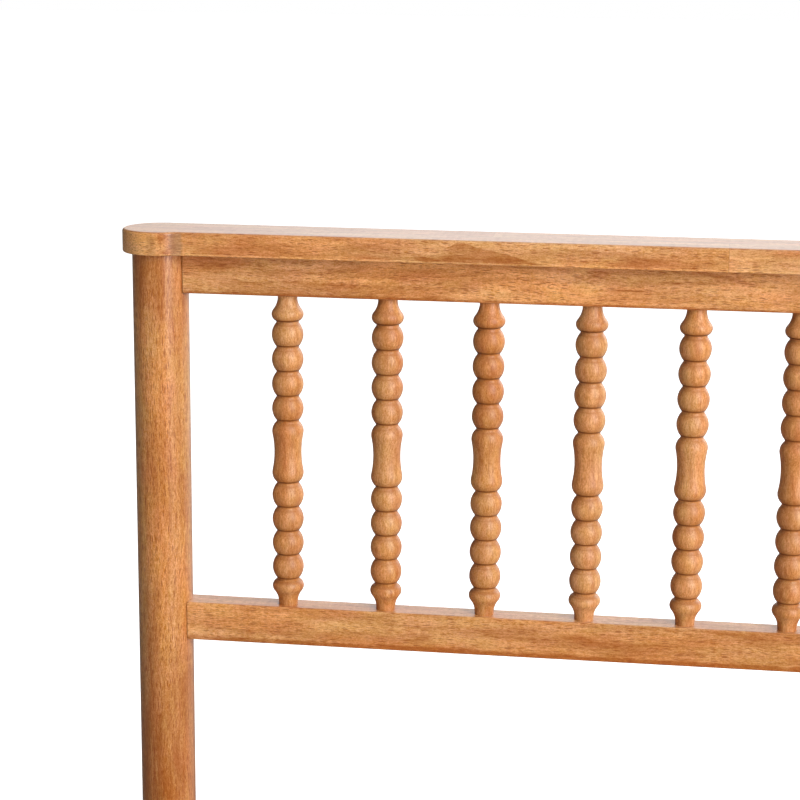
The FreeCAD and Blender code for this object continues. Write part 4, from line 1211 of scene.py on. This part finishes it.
def hangerMesh(sy):
    h = hanger
    wide, low, high = h["plateWidth"] / 2, h["bottom"], h["bottom"] + h["plateHeight"]
    inset = h["plateRound"]
    plate = []
    for x, z, first in ((wide - inset, low + inset, -90), (wide - inset, high - inset, 0),
                        (inset - wide, high - inset, 90), (inset - wide, low + inset, 180)):
        plate += corner(x, z, inset, first, first + 90, 6)
    outer, inner = h["half"] + h["steel"], h["half"]
    bend, fold = h["bend"], h["bend"] - h["steel"]
    top, floor = low + h["side"], low + h["steel"]
    tray = [(outer, top)] + corner(outer - bend, low + bend, bend, 0, -90, 5)
    tray += corner(bend - outer, low + bend, bend, -90, -180, 5) + [(-outer, top), (-inner, top)]
    tray += corner(fold - inner, floor + fold, fold, 180, 270, 3)
    tray += corner(inner - fold, floor + fold, fold, 270, 360, 3) + [(inner, top)]
    inside, tip = h["face"] - h["steel"], sy * (h["face"] - h["reach"])
    back = extrudedMesh(plate, *sorted((sy * h["face"], sy * inside)))
    form = formFrom(extrudedMesh(tray, *sorted((sy * (inside + h["overlap"]), tip))))
    lips = [edge for edge in form.edges if all(
        abs(vert.co.z - top) < 1e-6 and abs(vert.co.y - tip) < 1e-6 for vert in edge.verts)]
    bmesh.ops.bevel(form, geom=lips, offset=h["tipRound"], segments=5, profile=0.5, affect="EDGES")
    return together(*(soften(mesh, h["ease"], 2, 50) for mesh in (back, meshFrom(form, "cradle"))))


finishPiece("centre_rail_brackets", settle(together(hangerMesh(-1), hangerMesh(1))), blackPowder, "beamHangers")

# nail-on glides: a domed nylon disc with a step, and its nail up into the post
glide = [(0, 0), (0.014, 0), (0.0155, 0.0003), (0.017, 0.0011), (0.0178, 0.002), (0.018, 0.003), (0.018, 0.0046),
         (0.0176, 0.005), (0.0016, 0.005), (0.0016, 0.0195), (0.0002, 0.021), (0, 0.021)]
glideMeshes = [turnedMesh(glide, (sx * plan["postX"], sy * plan["postY"]), 48) for sx, sy in corners]
finishPiece("post_glides", together(*glideMeshes), blackNylon)

# levelling feet: a pad with a ringed top and a socket, and a threaded stud with its hexagon and disc
foot = {"pad": 0.020, "height": 0.009, "round": 0.0015, "underside": 0.0165, "discLow": 0.003, "hexLow": 0.0093,
        "hexHeight": 0.006, "studTop": 0.056, "plainTo": 0.0066}
padTop = [(0.0165, 0.009), (0.0160, 0.0086), (0.0150, 0.0086), (0.0145, 0.009), (0.0085, 0.009), (0.0080, 0.0087),
          (0.00465, 0.0087), (0.00405, 0.0083), (0.00405, 0.00605), (0.00605, 0.00605), (0.00605, 0.00295),
          (0, 0.00295)]
discSide = [(0, 0.003), (0.0055, 0.003), (0.006, 0.0035), (0.006, 0.0055), (0.0055, 0.006), (0, 0.006)]


def padMesh(y):
    ease = foot["round"]
    edge = foot["pad"] - ease
    side = corner(edge, ease, ease, -90, 0, 4) + corner(edge, foot["height"] - ease, ease, 0, 90, 4)
    return turnedMesh([(0, 0), (foot["underside"], 0)] + side + padTop, (0, y), 72)


def studMesh(y):
    stem = boltRod(foot["studTop"] - foot["discLow"], 250, 24, 0.0015, 0.75, plainFrom=-1.0, plainTo=foot["plainTo"])
    hexagon = hexMesh(bolt["across"], foot["hexHeight"])
    for mesh, height in ((stem, foot["discLow"]), (hexagon, foot["hexLow"])):
        mesh.transform(Matrix.Translation((0, y, height)))
    return settle(together(stem, turnedMesh(discSide, (0, y), 48), hexagon), 25)


for label, y in legs:
    finishPiece("leveller_pad_" + label, padMesh(y), blackNylon, body="pad_" + label)
    finishPiece("leveller_stud_" + label, studMesh(y), zincPlate, body="stud_" + label)
print("hangers, glides and levelling feet made")


# studio
studio = {
    "keyPlace": (5.7, -5.3, 4.0), "keyAim": (-0.3, 0.9, 1.0), "keySize": (5.1, 8.8), "keyPower": 1020.0,
    "topPlace": (0.2, -0.3, 4.6), "topAim": (0.2, 0.1, 0.0), "topSize": (4.5, 4.5), "topPower": 34.0,
    "backPlace": (2.6, 5.2, 2.6), "backAim": (0.2, 0.6, 0.6), "backSize": (2.5, 2.5), "backPower": 60.0,
    "floorSize": 60.0, "floorColour": (0.8, 0.8, 0.8, 1), "floorLift": 0.45, "fadeFrom": 0.25, "fadeTo": 1.1,
    "ambient": 0.20, "mirroredDark": 0.05, "mirroredFront": 0.85, "mirroredSky": 1.32, "mirroredFloor": 0.6,
}


def softbox(name, place, aim, size, power):
    light = bpy.data.lights.new(name, "AREA")
    light.shape = "RECTANGLE"
    light.size, light.size_y = size
    light.energy = power
    lamp = onStage(light, name)
    lamp.location = place
    lamp.rotation_euler = (Vector(aim) - Vector(place)).to_track_quat("-Z", "Y").to_euler()


def mixed(amount, first, second):
    return addNode(treeOf(amount, first, second), "ShaderNodeMix", {0: amount, 2: first, 3: second}).outputs[0]


def rayKinds(tree):
    paths = addNode(tree, "ShaderNodeLightPath").outputs
    return paths, larger(paths["Is Glossy Ray"], paths["Is Transmission Ray"])


# how bright the studio is in the bed's lacquer: white behind it and to its right, a soft screen at front right,
# and dark elsewhere
def mirroredGlow(x, y, leftDark, leftWhite, level):
    turn = calc("ARCTAN2", x, y)
    glow = times(spread(turn, leftDark, leftWhite, 0.0, level, smooth=True), spread(turn, 2.0, 1.4, smooth=True))
    screen = spread(calc("ABSOLUTE", minus(turn, 2.40)), 0.28, 0.08, smooth=True)
    glow = plus(glow, times(screen, studio["mirroredFront"]))
    return larger(glow, studio["mirroredDark"])


# the world is white to the camera; what the bed mirrors is dark behind on the left and white behind on the right
def buildWorld():
    world = bpy.data.worlds.new("studioWhite")
    scene.world = world
    world.use_nodes = True
    tree = world.node_tree
    tree.nodes.clear()
    way = split(addNode(tree, "ShaderNodeTexCoord").outputs["Generated"])
    paths, shiny = rayKinds(tree)
    level = mixed(shiny, studio["ambient"], mirroredGlow(way[0], way[1], -0.62, -0.12, studio["mirroredSky"]))
    level = mixed(paths["Is Camera Ray"], level, 1.0)
    sky = addNode(tree, "ShaderNodeBackground", {"Color": (1, 1, 1, 1), "Strength": level})
    tree.links.new(sky.outputs[0], addNode(tree, "ShaderNodeOutputWorld").inputs[0])


# the floor keeps the bed's shadow nearby and fades to white further off
def buildFloor():
    half = studio["floorSize"] / 2
    mesh = bpy.data.meshes.new("studioFloor")
    mesh.from_pydata([(-half, -half, 0), (half, -half, 0), (half, half, 0), (-half, half, 0)], [], [(0, 1, 2, 3)])
    material, tree, shader = newMaterial("studioFloor")
    shader.inputs["Roughness"].default_value = 0.9
    place = split(objectPlace(tree))
    beyond = [larger(minus(calc("ABSOLUTE", place[k]), cadBox[1][k]), 0.0) for k in (0, 1)]
    away = vectorCalc("LENGTH", joined(*beyond))
    lift = spread(away, studio["fadeFrom"], studio["fadeTo"], studio["floorLift"], 1.0, smooth=True)
    paths, shiny = rayKinds(tree)
    glow = mirroredGlow(place[0], place[1], -0.25, 0.1, studio["mirroredFloor"])
    lift = mixed(paths["Is Camera Ray"], times(shiny, glow), lift)
    tree.links.new(lift, shader.inputs["Emission Strength"])
    shader.inputs["Emission Color"].default_value = (1, 1, 1, 1)
    tone = blendColour(shiny, studio["floorColour"], (0.05, 0.05, 0.05, 1))
    tree.links.new(tone, shader.inputs["Base Color"])
    # clear when seen from below, so that the underside can be looked at
    below = times(addNode(tree, "ShaderNodeNewGeometry").outputs["Backfacing"], paths["Is Camera Ray"])
    clear = addNode(tree, "ShaderNodeBsdfTransparent")
    both = addNode(tree, "ShaderNodeMixShader", {0: below, 1: shader.outputs[0], 2: clear.outputs[0]})
    sink = next(node for node in tree.nodes if node.type == "OUTPUT_MATERIAL")
    tree.links.new(both.outputs[0], sink.inputs[0])
    mesh.materials.append(material)
    onStage(mesh, "studioFloor")


for name in ("key", "top", "back"):
    softbox(name + "Light", *(studio[name + part] for part in ("Place", "Aim", "Size", "Power")))
buildWorld()
buildFloor()
print("studio lit")
